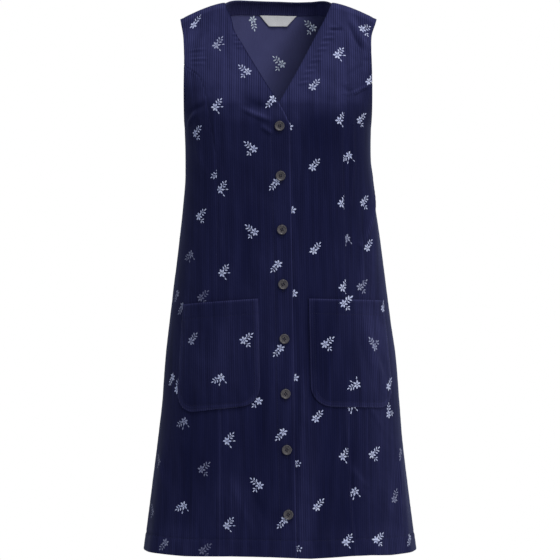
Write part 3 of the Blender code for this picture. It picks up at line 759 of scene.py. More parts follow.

# Patches of painted light and shade, which also stand for the pile's uneven lie: middle as seen from the
# front or behind, reach each way and strength, minus where it is darker.
PaintedLight = namedtuple("PaintedLight", "face x drop reach_x reach_drop strength")
PAINTED_LIGHT_PATCHES = table(PaintedLight, (FRONT,), (
        (-135, 20, 60, 32, 0.26), (135, 20, 60, 32, 0.3), (-85, 230, 40, 40, 0.05),
        (75, 222, 45, 26, -0.09), (110, 182, 50, 24, 0.06), (30, 212, 22, 26, 0.1),
        (-32, 180, 34, 22, -0.12), (-40, 207, 34, 11, 0.2), (-62, 228, 30, 26, -0.08),
        (160, 600, 14, 60, 0.12), (-88, 585, 12, 40, 0.1), (75, 240, 45, 40, -0.08),
        (75, 360, 46, 130, -0.11), (90, 590, 50, 110, -0.11), (90, 820, 50, 160, -0.16),
        (-100, 790, 100, 130, -0.07), (0, 890, 50, 100, -0.05), (42, 930, 16, 70, 0.14),
        (135, 290, 26, 100, -0.13), (-160, 300, 30, 160, 0.07), (165, 440, 22, 120, 0.12),
        (175, 640, 30, 120, 0.12), (215, 870, 30, 120, 0.18), (146, 560, 30, 50, 0.14),
        (184, 650, 20, 70, 0.1), (-120, 640, 50, 60, 0.15), (50, 820, 20, 120, 0.15),
        (-80, 860, 35, 50, 0.1),
), shares=1) + table(PaintedLight, (BACK,), (
        (0, 120, 110, 80, 0.15), (-90, 300, 40, 80, -0.15), (120, 560, 40, 140, 0.2),
        (-130, 760, 40, 120, 0.2),
), shares=1)


def pile(face, points, out, across, drops):
    """How pale the pile looks: painted light where the cloth faces up, painted light and shade in patches and
    on creases.
    """
    x = points[..., 0]
    wave = 0.055 * np.sin(70.0 * x + 1.0) + 0.050 * np.sin(185.0 * x + 30.0 * drops + 2.0)
    # painted light: the pile paler where the cloth faces up
    nap_and_light = PILE_LEAST + TOP_LIGHT_PAINTED * ease((out[..., 2] - 0.02 + wave) / FULLY_UP)
    # painted light and shade in patches
    for patch in PAINTED_LIGHT_PATCHES:
        if patch.face == face:
            near = bump(x - patch.x, patch.reach_x) * bump(drops - patch.drop, patch.reach_drop)
            nap_and_light = nap_and_light + patch.strength * near
    # painted light and shade on the creases: paler on crests and up-facing slopes, darker in troughs
    steps = (-CREASE_STEP, 0.0, CREASE_STEP)
    above, level, below = (ridges(CREASES, face, across, drops + step) for step in steps)
    slope = (below - above) / (2 * CREASE_STEP)
    nap_and_light = unit(nap_and_light) + CREASE_SLOPE_SHADE * np.clip(slope, -0.5, 0.8)
    return nap_and_light + CREASE_CREST_LIGHT * np.clip(level / CREASE_TALL, -1.0, 1.0)


def edge_light_and_shade(panel, nap_and_light, across, drops):
    """Painted highlight along the princess seams and the opening, and painted shade where the neck's edge
    rolls.
    """
    side = side_of(panel)
    down = drops[:, None]
    if panel.startswith("front"):
        free = front_edge(side, drops)[:, None]
        # painted shade along the neck's rolled edge
        roll_shade = NECK_SHADE[side] * ease((OVERLAP_TOP - down) / 0.02) * bump(across - free, NECK_ROLL)
        nap_and_light = nap_and_light - roll_shade * ease((NECK_ROLL_END - down) / 0.01)
    if panel != "back":
        # painted highlight along the princess seams
        seam = np.abs(across - side * princess_seam(side, drops)[:, None])
        lower = 0.3 + 0.7 * ease((down - SKIRT_HIGHLIGHT_TOP) / 0.03)
        nap_and_light = nap_and_light + SEAM_HIGHLIGHT * lower * bump(seam - 0.0008, SEAM_HIGHLIGHT_WIDTH)
    if panel == "front_right":
        # painted highlight along the edge of the opening
        crossed = ease((down - 0.180) / 0.008) * (1.0 + ease((OVERLAP_TOP - down) / 0.006))
        nap_and_light = nap_and_light + OPENING_HIGHLIGHT * crossed * bump(free - across - 0.0010, OPENING_HIGHLIGHT_WIDTH)
    return unit(nap_and_light)


# ---- the cloth pieces

FRONT_COLUMNS = 66
SIDE_COLUMNS = 46
BACK_COLUMNS = 128
BACK_EDGE_SHARE = 0.0016
POCKET_COLUMNS = 58
STRAIGHT_ROWS = 54
CORNER_ROWS = 15
GRAIN_SHIFT = 0.0009
# the paleness written on the neck strips: painted light
STRIP_NAP_AND_LIGHT = 0.5


def panel_object(panel, across, drops, grain, finishes):
    points, out = on_cloth(panel, across, drops)
    down = drops[:, None]
    uv = np.stack([across - grain, np.broadcast_to(-down, across.shape)], axis=-1)
    nap_and_light = edge_light_and_shade(panel, pile(face_of(panel), points, out, across, down), across, drops)
    return shell(panel + "_cloth", points, out, uv, nap_and_light, CLOTH, finishes)


def centre_front(side, finishes):
    drops = rows_between(0.0, OVERLAP_TOP, *[row.drop for row in SEAMS[side][:4]])
    outer = side * (princess_seam(side, drops) - seam_margin(side, drops))
    across = spaced(front_edge(side, drops), outer, FRONT_COLUMNS)
    return panel_object("front_" + SIDE_WORD[side], across, drops, button_line(drops)[:, None], finishes)


def side_front(side, finishes):
    drops = rows_between(SEAMS[side][0].drop, *[row.drop for row in SEAMS[side][:4]])
    outer = side_length(FRONT, drops)
    inner = np.minimum(princess_seam(side, drops) + seam_margin(side, drops), outer - SEAM_START / 3)
    across = side * spaced(inner, outer, SIDE_COLUMNS)
    return panel_object("side_front_" + SIDE_WORD[side], across, drops, 0.0, finishes)


def back_columns(drops, share):
    """Across-distances of the back: half its columns lie under the neck at the top, and even out below."""
    outer = side_length(BACK, drops)[:, None]
    neck = across_at(BACK, NECK_HALF, drops)[:, None]
    inside = np.abs(share) <= 0.5
    top = np.where(inside, 2.0 * np.abs(share) * neck, neck + (2.0 * np.abs(share) - 1.0) * (outer - neck))
    even = np.abs(share) * outer
    return np.sign(share) * (top + (even - top) * ease(drops / SHOULDER_BLEND)[:, None])


def back(finishes):
    drops = rows_between(0.0)
    drops = drops[np.concatenate([[True], np.diff(drops) > ROW_GAP])]
    inner = np.linspace(-1.0, 1.0, BACK_COLUMNS - 2)[1:-1]
    edge = 1.0 - BACK_EDGE_SHARE
    share = np.concatenate([[-1.0, -edge], inner, [edge, 1.0]])
    return panel_object("back", back_columns(drops, share[None, :]), drops, 0.0, finishes)


def pocket(name, finishes):
    """A patch pocket: rows across it from its mouth down, closer in its round corners."""
    row = POCKETS[name]
    straight = np.linspace(0.0032, POCKET_HEIGHT - POCKET_CORNER, STRAIGHT_ROWS)
    turn = np.radians(np.linspace(6, 89, CORNER_ROWS))
    corner = POCKET_HEIGHT - POCKET_CORNER * (1.0 - np.sin(turn))
    down = np.concatenate([[0.0, TURNED_EDGE], straight, corner, [POCKET_HEIGHT]])
    share = spaced(np.array([-1.0]), np.array([1.0]), POCKET_COLUMNS, 0.011)[0]
    drops = row.top + down[:, None] + row.tilt * (share[None, :] + 1.0) / 2
    line = button_line(drops)
    middle, half = pocket_middle(row, down)[:, None], pocket_half(row, down)[:, None]
    across = line + row.side * (middle + half * share[None, :])
    points, out = scattered(name, across, drops)
    uv = np.stack([across - line + GRAIN_SHIFT, -drops], axis=-1)
    edge, down, _ = pocket_edge(row, across, drops)
    # painted highlight: paler lines along the pocket's edges, its mouth and between its rows of stitches
    painted_light = bump(edge - 0.0014, 0.0016) + bump(down - 0.0009, 0.0018)
    painted_light = painted_light + 0.35 * bump(edge - POCKET_STITCH_INNER + 0.0030, 0.0022)
    nap_and_light = unit(pile(FRONT, points, out, across, drops) + POCKET_EDGE_HIGHLIGHT * np.minimum(painted_light, 1.0))
    return shell(name + "_cloth", points, out, uv, nap_and_light, CLOTH, finishes)


def inner_strip(name, across, drops, lift, wall, finishes):
    """A strip that lies inside the back neck."""
    out = outward(BACK, across, drops)
    points = hang(BACK, base(BACK, across, drops) + out * lift[..., None], drops[:, None])
    uv = np.stack([across, np.broadcast_to(-drops[:, None], across.shape)], axis=-1)
    return shell(name, points, -out, uv, np.full(across.shape, STRIP_NAP_AND_LIGHT), wall, finishes)


def back_neck_facing(finishes):
    down = np.array([0.0, 0.04, 0.2, 0.35, 0.5, 0.65, 0.8, 0.9, 0.96, 1.0])
    drops = FACING_TOP + (FACING_DEPTH - FACING_TOP) * down
    across = back_columns(drops, np.linspace(-0.503, 0.503, 92)[None, :])
    lift = np.full(across.shape, FACING_LIFT)
    return inner_strip("back_neck_facing_cloth", across, drops, lift, FACING_WALL, finishes)


def neck_label(finishes):
    """A bare label that hangs from the facing's lower edge, narrower below."""
    down = np.array([0.0, 0.04, 0.15, 0.3, 0.45, 0.6, 0.75, 0.88, 0.96, 1.0])[:, None]
    share = np.linspace(-1.0, 1.0, 40)[None, :]
    across = LABEL_MIDDLE + (LABEL_TOP_HALF + (LABEL_BOTTOM_HALF - LABEL_TOP_HALF) * down) * share
    drops = FACING_DEPTH + SEAM_GAP + LABEL_HEIGHT * down[:, 0]
    wave = 0.0004 * np.sin(5.0 * share + 0.8) * down
    lift = LABEL_LIFT - 0.0006 * down**2 + wave
    return inner_strip("neck_label_tape", across, drops, lift, FACING_WALL * 0.7, finishes)


# ---- stitches

STITCH_PITCH = 0.0032
STITCH_SHARE = 0.78
STITCH_END = 0.20
STITCH_RISE = (-1.1, 0.55, 0.55, -1.1)
STITCH_THICKNESS = (0.55, 1.0, 1.0, 0.55)
THREAD_RADIUS = 0.00030
TUBE_SIDES = 5
PATH_STEP = 0.004
HEM_LINE = LENGTH - HEM_DEPTH


def tube(name, centres, out, radius, finish, closed=False):
    """A thread along a list of centres, thick by its own radius at each."""
    ahead = np.roll(centres, -1, axis=0) - np.roll(centres, 1, axis=0)
    if not closed:
        ahead[0] = centres[1] - centres[0]
        ahead[-1] = centres[-1] - centres[-2]
    ahead /= np.maximum(np.linalg.norm(ahead, axis=1, keepdims=True), 1e-9)
    aside = np.cross(ahead, out)
    aside /= np.maximum(np.linalg.norm(aside, axis=1, keepdims=True), 1e-9)
    turn = 2 * np.pi * np.arange(TUBE_SIDES + 1)[None, :, None] / TUBE_SIDES
    round_it = np.cos(turn) * out[:, None, :] + np.sin(turn) * aside[:, None, :]
    points = centres[:, None, :] + radius[:, None, None] * round_it
    if closed:
        points = np.concatenate([points, points[:1]], axis=0)
    mesh = grid_mesh(name, points)[0]
    bm = bmesh.new()
    bm.from_mesh(mesh)
    bpy.data.meshes.remove(mesh)
    bmesh.ops.remove_doubles(bm, verts=bm.verts, dist=2e-6)
    bmesh.ops.recalc_face_normals(bm, faces=bm.faces)
    return mesh_object(name, bm, finish)


def stitch_row(panel, across, drop, finish):
    """A row of machine stitches along a path on a panel. Between stitches the thread dips into the cloth."""
    run = np.concatenate([[0.0], np.cumsum(np.hypot(np.diff(across), np.diff(drop)))])
    count = max(2, int(run[-1] / STITCH_PITCH))
    share = np.array([0.02, STITCH_END, STITCH_SHARE - STITCH_END, STITCH_SHARE])
    at = ((np.arange(count)[:, None] + share[None, :]) / count * run[-1]).ravel()
    rise = np.tile(STITCH_RISE, count) * THREAD_RADIUS
    thick = np.tile(STITCH_THICKNESS, count) * THREAD_RADIUS
    centres, out = scattered(panel, np.interp(at, run, across), np.interp(at, run, drop), CLOTH / 2 + rise)
    return tube("row", centres, out, thick, finish)


def joined(name, pieces):
    """Several finished pieces made one."""
    bm = bmesh.new()
    finish = pieces[0].data.materials[0]
    for piece in pieces:
        old = piece.data
        bm.from_mesh(old)
        bpy.data.objects.remove(piece)
        bpy.data.meshes.remove(old)
    return mesh_object(name, bm, finish)


def body_stitching(finish):
    """The rows beside the placket, the armholes and the hem."""

    def downward(panel, line, top, bottom):
        drops = np.arange(top, bottom, PATH_STEP)
        rows.append(stitch_row(panel, line(drops), drops, finish))

    def along_hem(panel, start, end, count=60):
        rows.append(stitch_row(panel, np.linspace(start, end, count), np.full(count, HEM_LINE), finish))

    rows = []
    hem = np.array([HEM_LINE])
    downward("front_right", placket_line, OVERLAP_TOP, LENGTH - 0.004)
    for side, word in SIDE_WORD.items():
        front, flank = "front_" + word, "side_front_" + word
        start = SEAMS[side][0].drop
        seam = princess_seam(side, hem)[0]

        def armhole(face):
            return lambda drops: side * (side_length(face, drops) - ARMHOLE_STITCH_IN)

        downward(front, armhole(FRONT), 0.006, start)
        along_hem(front, front_edge(side, hem)[0] + side * 0.003, side * (seam - 0.002))
        downward(flank, armhole(FRONT), start + 0.030, UNDERARM - 0.004)
        along_hem(flank, side * (seam + 0.002), side * (side_length(FRONT, hem)[0] - 0.002))
        downward("back", armhole(BACK), 0.006, UNDERARM - 0.004)
    outer = side_length(BACK, hem)[0] - 0.002
    along_hem("back", -outer, outer, 200)
    return joined("body_stitching", rows)


def pocket_outline(row, inset):
    """The path of a row of stitches down one side of a pocket, round its lower corners and up the other."""
    corner = POCKET_CORNER - inset
    turn = np.radians(np.linspace(0.0, 90.0, 14))[1:]
    straight = np.linspace(0.003, POCKET_HEIGHT - POCKET_CORNER, 50)
    down = np.concatenate([straight, POCKET_HEIGHT - POCKET_CORNER + corner * np.sin(turn)])
    away = np.concatenate([np.zeros(50), corner * (1.0 - np.cos(turn))])
    full = (row.width + pocket_flare(row, down)) / 2
    half = full - inset - away
    aside = np.concatenate([-half, half[::-1]])
    down = np.concatenate([down, down[::-1]])
    full = np.concatenate([full, full[::-1]])
    drops = row.top + down + row.tilt * (aside / full + 1.0) / 2
    return button_line(drops) + row.side * (row.inner + full + aside), drops


def pocket_stitching(name, finish):
    row = POCKETS[name]
    share = np.linspace(-0.98, 0.98, 60)
    drops = row.top + POCKET_HEM + row.tilt * (share + 1.0) / 2
    mouth = button_line(drops) + row.side * (row.inner + row.width / 2 * (1.0 + share))
    paths = [pocket_outline(row, inset) for inset in (POCKET_STITCH_OUTER, POCKET_STITCH_INNER)]
    rows = [stitch_row(name, *path, finish) for path in (*paths, (mouth, drops))]
    return joined(name + "_stitching", rows)


# ---- embroidered sprigs

# Every leaf and petal of a sprig: its root from the flower's middle as a complex number, the way it points in
# degrees from the wearer's left, its length and its width.
Leaf = namedtuple("Leaf", "root turn length width")
MM = 0.001
PETAL_LENGTH = 7.2 * MM
PETAL_WIDTH = 4.1 * MM
KNOT = 3.0 * MM
LEAF_SHAPE = 0.42
STEM_WIDTH = 0.9 * MM


def toward(degrees):
    """A step of one in a direction."""
    return complex(math.cos(math.radians(degrees)), math.sin(math.radians(degrees)))


def petals(start):
    """Six petals round the flower's knot, no two quite alike."""
    made = [Leaf(-KNOT / 2, 0.0, KNOT, KNOT)]
    for k in range(6):
        turn = start + 60.0 * k + 4.0 * math.sin(2.0 * k)
        length = PETAL_LENGTH * (1.0 + 0.07 * math.cos(2.4 * k))
        made.append(Leaf(0.4 * MM * toward(turn), turn, length, PETAL_WIDTH))
    return made


def twig(turn, root, tip, tip_length, *pairs):
    """A stem from near the flower, a leaf at its tip and pairs beside it: reach, spread and length."""
    way = toward(turn) * MM
    made = [Leaf(root * way, turn, (tip - root + 1.0) * MM, STEM_WIDTH)]
    made.append(Leaf(tip * way, turn, tip_length * MM, tip_length * LEAF_SHAPE * MM))
    for reach, spread, length in pairs:
        made.append(Leaf(reach * way, turn + spread, length * MM, length * LEAF_SHAPE * MM))
        made.append(Leaf(reach * way, turn - spread * 0.94, length * 0.93 * MM, length * LEAF_SHAPE * MM))
    return made


SHORT_SPRAY = ((6.2, 60.0, 7.0), (10.4, 55.0, 6.8))
SPRIGS = {
    # a flower, a spray of five leaves to its upper left and a bud of three to its lower left
    "branched": petals(12.0)
    + twig(142.0, 5.5, 13.8, 6.8, (6.6, 62.0, 7.4), (11.0, 56.0, 7.0))
    + twig(224.0, 5.5, 9.6, 6.2, (8.2, 62.0, 6.4)),
    # a flower with one spray that rises to its upper right
    "single": petals(20.0) + twig(49.0, 5.5, 13.0, 6.6, *SHORT_SPRAY),
    # a flower, a spray to its upper right and two long leaves of their own
    "open": petals(0.0)
    + twig(52.0, 5.5, 13.0, 6.4, *SHORT_SPRAY)
    + twig(2.0, 5.5, 8.6, 6.2)
    + twig(-56.0, 5.0, 8.0, 6.0),
}

# Each front panel's sprigs, by those that are sewn the same way up: kind, turn, whether mirrored, and each
# one's distance from the button line (from the middle plane on a side front) and its drop, in millimetres.
COLUMNS = {
    "front_right": (
        ("single", 180, False, (
            (-13.9, 184.3), (-10.1, 327.5), (-10.7, 470.2), (-9.7, 616), (-8.7, 761.1), (-9.5, 912.4),
        )),
        ("branched", 0, False, ((-60.4, 129), (-50.4, 266), (-52, 410.1), (-51.5, 703), (-53, 848.5))),
        ("open", 0, False, (
            (-108.8, 76.4), (-109.7, 191.6), (-103.9, 334.9), (-103.8, 480.3), (-100.4, 771.4),
            (-103.5, 917.7),
        )),
        ("single", 0, False, ((-152.4, 22.2),)),
        ("branched", 0, True, ((-159, 164),)),
    ),
    "side_front_right": (
        ("branched", 0, True, (
            (-149.9, 237), (-144.6, 382.2), (-139.5, 524.6), (-134.8, 822.5), (-131.5, 965.8),
        )),
        ("open", 80, True, ((-171.8, 452.5), (-180.1, 744.4), (-178.4, 890.4), (-107, 310.4))),
        ("single", 180, False, ((-190.3, 544), (-214, 669), (-211, 522), (-214, 959.6))),
        ("branched", 40, True, ((-195, 683.5),)),
        ("branched", 0, False, ((-244, 815), (-239, 410), (-260, 903))),
    ),
    "front_left": (
        ("branched", 0, False, (
            (12, 227.6), (14, 371.8), (13.5, 516.5), (12.2, 662.6), (13.2, 810.8), (11.2, 958.5),
        )),
        ("single", 0, False, ((60.2, 155.4), (58.4, 295.7), (57.1, 440.7), (53.7, 731.8), (51.9, 884.3))),
        ("open", 0, False, (
            (105, 95.6), (108.3, 215), (110.1, 359.1), (108.5, 506), (101.3, 798.5), (102.9, 949),
        )),
        ("branched", 0, True, ((153.9, 31.4),)),
        ("branched", 20, True, ((165.5, 143),)),
    ),
    "side_front_left": (
        ("branched", 0, True, ((155.2, 214.1), (162.3, 358.1), (150, 505.6), (171, 797.9), (176.6, 948.3))),
        ("open", 80, True, ((124.1, 280.3), (116.7, 424.9), (123.7, 715.5), (129.6, 864.4))),
        ("single", 0, False, ((166.1, 435), (211, 678.5))),
        ("single", 20, False, ((217.8, 875.4),)),
        ("branched", 50, True, ((209, 726.2),)),
        ("single", 180, False, ((251.3, 954), (244, 801))),
    ),
    "pocket_right": (
        ("branched", 0, True, ((-65.8, 598.4),)),
        ("open", 80, True, ((-114.6, 666.9),)),
        ("single", 0, False, ((-165, 598.5),)),
    ),
    "pocket_left": (
        ("branched", 0, True, ((74.4, 605.3), (109, 535))),
        ("open", 150, False, ((122.1, 677.4),)),
        ("single", 0, False, ((196.5, 542), (200, 679))),
        ("branched", 88, True, ((162.1, 607.6),)),
    ),
}
BACK_FIRST = 0.0025
BACK_SHIFT = 0.0060
BACK_SPACING = 0.0525
BACK_REPEAT = 0.1446
BACK_DROPS = (0.1025, 0.0350)
BACK_SLIP = 0.0040
BACK_WANDER = 0.0012
BACK_KINDS = (("branched", 0), ("branched", 0), ("open", 0), ("single", -128))
SPRIG_SIZE = 1.08
SPRIG_RISE = 0.0004
SPRIG_SINK = 0.00015
LEAF_SIDES = 8
EDGE_ROOM = 0.0004
TOP_ROOM = 0.002
HEM_ROOM = 0.0005
POCKET_ROOM = 0.004
SMALLEST_FACE = 2e-9

# Sprigs on the front dimmed by painted shade: where they are, and how much of the navy shows through.
ShadedSprig = namedtuple("ShadedSprig", "x drop share")
SHADED_SPRIGS = table(ShadedSprig, (), (
        (-107, 86, 0.48), (-63, 134, 0.25), (59, 158, 0.3), (117, 425, 0.58), (-157, 453, 0.72),
        (142, 505, 0.55), (-133, 521, 0.85), (-180, 521, 0.65), (-173, 544, 0.65), (-152, 595, 0.5),
        (161, 604, 0.42), (-169, 742, 0.58), (208, 797, 0.7), (-212, 809, 0.8), (-131, 819, 0.72),
        (199, 868, 0.66), (-223, 897, 0.75), (223, 945, 0.42), (-203, 953, 0.7), (-131, 957, 0.85),
), shares=1)
SHADED_SPRIG_REACH = 0.016


def front_places(panel):
    """A front panel's sprigs: across, drop, kind, turn and whether mirrored."""
    made = []
    for kind, turn, mirror, places in COLUMNS[panel]:
        offset, drops = np.array(places).T / 1000
        line = 0.0 if panel.startswith("side_front") else button_line(drops)
        made += [(across, drop, kind, turn, mirror) for across, drop in zip(line + offset, drops)]
    return made


def back_places():
    """The back's sprigs, in columns whose neighbours start half a repeat lower."""
    places = []
    for k in range(-5, 6):
        across = BACK_FIRST + BACK_SPACING * k + BACK_SHIFT * (k % 2)
        first = BACK_DROPS[k % 2] + BACK_SLIP * (k + 1) * (k % 2)
        for j in range(7):
            drop = first + BACK_REPEAT * j
            if drop < LENGTH + 0.01:
                aside = BACK_WANDER * math.sin(9.0 * k + 5.0 * j)
                places.append((across + aside, drop, *BACK_KINDS[k % 4], False))
    return places


def leaf_shapes(kind, turn, mirror):
    """Points of every leaf of a sprig, its middle last: as they lie on the cloth, and along and across it."""
    leaves = SPRIGS[kind]
    weight = [leaf.length * leaf.width for leaf in leaves]
    middle = np.average([leaf.root + toward(leaf.turn) * leaf.length / 2 for leaf in leaves], weights=weight)
    around = 2 * np.pi * np.arange(LEAF_SIDES) / LEAF_SIDES
    along = np.append((1.0 - np.cos(around)) / 2, 0.55)
    aside = np.append(np.sin(around) * np.abs(np.sin(around)) ** 0.25 / 2, 0.0)
    for leaf in leaves:
        own = along * leaf.length + 1j * aside * leaf.width
        place = (leaf.root + own * toward(leaf.turn) - middle) * SPRIG_SIZE
        yield (-place.conj() if mirror else place) * toward(turn), own


def panel_limits(panel, drop):
    """The least and greatest across-distance that a panel's cloth has at each drop."""
    side = side_of(panel)
    if panel == "back":
        reach = side_length(BACK, drop)
        return -reach, reach
    if panel.startswith("side_front"):
        ends = (side * princess_seam(side, drop), side * side_length(FRONT, drop))
    elif panel in POCKETS:
        row = POCKETS[panel]
        down = np.clip(drop - row.top, 0.0, POCKET_HEIGHT)
        middle, half = pocket_middle(row, down), pocket_half(row, down)
        ends = (button_line(drop) + side * (middle - half), button_line(drop) + side * (middle + half))
    else:
        ends = (front_edge(side, drop), side * princess_seam(side, drop))
    return np.minimum(*ends), np.maximum(*ends)


def sprig_shade_share(face, across, drop):
    """How much a sprig is dimmed towards navy, as painted shade."""
    if face == BACK:
        return 0.0
    x = base(face, np.array([[across]]), np.array([drop]))[0, 0, 0]
    near = [row.share for row in SHADED_SPRIGS if math.hypot(x - row.x, drop - row.drop) < SHADED_SPRIG_REACH]
    return near[0] if near else 0.0


def under_pocket(across, drop):
    """Whether a place on the front is hidden by a pocket."""
    hidden = np.zeros(across.shape, bool)
    for row in POCKETS.values():
        down, middle = place_in_pocket(row, across, drop)
        inside_down = (down > POCKET_ROOM) & (down < POCKET_HEIGHT - POCKET_ROOM)
        half = pocket_half(row, np.clip(down, 0.0, POCKET_HEIGHT))
        hidden |= inside_down & (np.abs(middle) < half - POCKET_ROOM)
    return hidden


def embroider(name, panel, places, finish, inside=False):
    """The sprigs of a panel, cut off at its edges. Each leaf is a round of sides with a raised middle."""
    bm = bmesh.new()
    bmesh.ops.create_circle(bm, cap_ends=True, segments=LEAF_SIDES, radius=1.0)
    bmesh.ops.poke(bm, faces=bm.faces[:])
    round_leaf = np.array([complex(*vert.co.xy) for vert in bm.verts])
    leaf = mesh_from("leaf", bm)
    slot = np.rint(np.angle(round_leaf) / (2 * np.pi / LEAF_SIDES)).astype(int) % LEAF_SIDES
    slot = np.where(np.abs(round_leaf) < 0.5, LEAF_SIDES, slot)
    across, drop, local, sprig_shade = [], [], [], []
    for middle, level, kind, turn, mirror in places:
        share = sprig_shade_share(face_of(panel), middle, level)
        for place, own in leaf_shapes(kind, turn, mirror):
            across.append(middle + place.real[slot])
            drop.append(level - place.imag[slot])
            local.append(np.stack([own.real[slot], own.imag[slot]], axis=1))
            sprig_shade.append(share)
    across, drop = np.array(across), np.array(drop)
    low, high = (limit.reshape(drop.shape) for limit in panel_limits(panel, drop.ravel()))
    low, high = low + EDGE_ROOM, high - EDGE_ROOM
    shown = (across > low) & (across < high) & (drop > TOP_ROOM) & (drop < LENGTH - HEM_ROOM)
    if panel not in POCKETS and panel != "back":
        shown &= ~under_pocket(across, drop)
    keep = shown.any(axis=1)
    across = np.clip(across, low, high)[keep]
    drop = np.clip(drop, TOP_ROOM, LENGTH - HEM_ROOM)[keep]
    rise = CLOTH / 2 + np.where(slot == LEAF_SIDES, SPRIG_RISE, -SPRIG_SINK)
    lift = np.broadcast_to(-rise if inside else rise, across.shape)
    points, _ = scattered(panel, across, drop, lift)
    bm = bmesh.new()
    for _ in range(len(across)):
        bm.from_mesh(leaf)
    bpy.data.meshes.remove(leaf)
    mesh = mesh_from(name, bm)
    mesh.vertices.foreach_set("co", points.ravel())
    local, sprig_shade = np.array(local)[keep], np.array(sprig_shade)[keep]
    write_cloth(mesh, local.reshape(-1, 2), "sprig_shade", np.repeat(sprig_shade, len(slot)))
    bm = bmesh.new()
    bm.from_mesh(mesh)
    bpy.data.meshes.remove(mesh)
    thin = [face for face in bm.faces if face.calc_area() < SMALLEST_FACE]
    bmesh.ops.delete(bm, geom=thin, context="FACES")
    wrong = [face for face in bm.faces if is_backward(face, panel, inside)]
    bmesh.ops.reverse_faces(bm, faces=wrong)
    return mesh_object(name, bm, finish)


def is_backward(face, panel, inside):
    """Whether an embroidered face points into the cloth."""
    middle = face.calc_center_median()
    away = Vector((middle.x * 0.6, middle.y, 0.0))
    if panel == "back" and middle.z > -0.03:
        away = Vector((0.0, 1.0, 0.3))
    return (face.normal.dot(away) > 0.0) == inside


# ---- buttons and buttonholes

BUTTON_DROPS = (0.2277, 0.3137, 0.4074, 0.5025, 0.5970, 0.6920, 0.7886, 0.9000)
BUTTON_RADIUS = 0.0086
BUTTON_THICKNESS = 0.0032
BUTTON_DISH = 0.0012
BUTTON_HOLE_RADIUS = 0.0011
BUTTON_HOLE_REACH = 0.0021
BUTTON_GAP = 0.0006
BUTTON_SIDES = 48
BUTTON_TURN = 7.0
BAR_HALF_GAP = 0.00028
BAR_SIZE = (0.00030, BUTTON_HOLE_REACH * math.sin(math.radians(45)) * 1.12, 0.00042)
BUTTONHOLE_LENGTH = 0.0215
BUTTONHOLE_WIDTH = 0.0022
BUTTONHOLE_DROP = 0.0010
BUTTONHOLE_THREAD = 0.00042

# Radius and height of the button's outline, in millimetres, from its back round the rim to its dished face
BUTTON_PROFILE = (
    (0, 0), (6.88, 0), (7.912, 0.32), (8.428, 1.024), (8.6, 1.792), (8.471, 2.56), (8.124, 3.04),
    (7.614, 3.2), (7.104, 3.072), (6.9, 2.66), (6.21, 2.24), (4.83, 2.048), (0, 2),
)


def button_place(number, drop):
    """Where a button stands on the overlap, as a turn and a shift from one lying on the floor."""
    across = float(button_line(np.array([drop]))[0])
    beside = across + BUTTON_RADIUS * np.array([-1.0, 1.0, 0.0, 0.0])
    above = drop + BUTTON_RADIUS * np.array([0.0, 0.0, -1.0, 1.0])
    height = ridges(FOLDS + CREASES, FRONT, beside, above) + lap_lift(RIGHT, beside)
    out = outward(FRONT, beside.reshape(-1, 1), above)[:, 0]
    points = base(FRONT, beside.reshape(-1, 1), above)[:, 0] + out * height[:, None]
    west, east, north, south = points
    normal = (Vector(np.cross(east - west, south - north)) * FRONT).normalized()
    place = Vector(points.mean(axis=0)) + normal * (CLOTH / 2 + BUTTON_GAP)
    upright = Matrix.Translation(place) @ normal.to_track_quat("Z", "Y").to_matrix().to_4x4()
    return upright @ Matrix.Rotation(math.radians(BUTTON_TURN * number), 4, "Z")


def post(bm, radius, radius_top, depth, place, sides, capped):
    """A round post that stands in a place."""
    size = {"radius1": radius, "radius2": radius_top, "depth": depth}
    made = bmesh.ops.create_cone(bm, cap_ends=capped, segments=sides, **size)
    bmesh.ops.translate(bm, verts=made["verts"], vec=place)


def button(number, drop, finish):
    """A turned disc with a dished face, a round rim and four holes."""
    bm = bmesh.new()
    verts = [bm.verts.new((radius / 1000, 0.0, height / 1000)) for radius, height in BUTTON_PROFILE]
    for first, second in zip(verts, verts[1:]):
        bm.edges.new((first, second))
    turned = {"axis": (0.0, 0.0, 1.0), "cent": (0.0, 0.0, 0.0), "angle": 2 * math.pi, "steps": BUTTON_SIDES}
    bmesh.ops.spin(bm, geom=bm.verts[:] + bm.edges[:], use_merge=True, **turned)
    bmesh.ops.remove_doubles(bm, verts=bm.verts, dist=1e-6)
    bmesh.ops.recalc_face_normals(bm, faces=bm.faces)
    made = mesh_object(f"button_{number}_horn", bm, finish)
    bm = bmesh.new()
    for quarter in range(4):
        way = toward(45 + 90 * quarter) * BUTTON_HOLE_REACH
        place = (way.real, way.imag, 0.0)
        post(bm, BUTTON_HOLE_RADIUS, BUTTON_HOLE_RADIUS, 4 * BUTTON_THICKNESS, place, 14, True)
    cutter = placed("button_holes", mesh_from("button_holes", bm))
    cut = made.modifiers.new("holes", "BOOLEAN")
    cut.object = cutter
    cut.operation = "DIFFERENCE"
    cut.solver = "EXACT"
    carved = bpy.data.meshes.new_from_object(made.evaluated_get(bpy.context.evaluated_depsgraph_get()))
    made.modifiers.clear()
    made.data = carved
    bpy.data.objects.remove(cutter)
    carved.transform(button_place(number, drop))
    carved.shade_smooth()
    carved.set_sharp_from_angle(angle=math.radians(50.0))
    return made


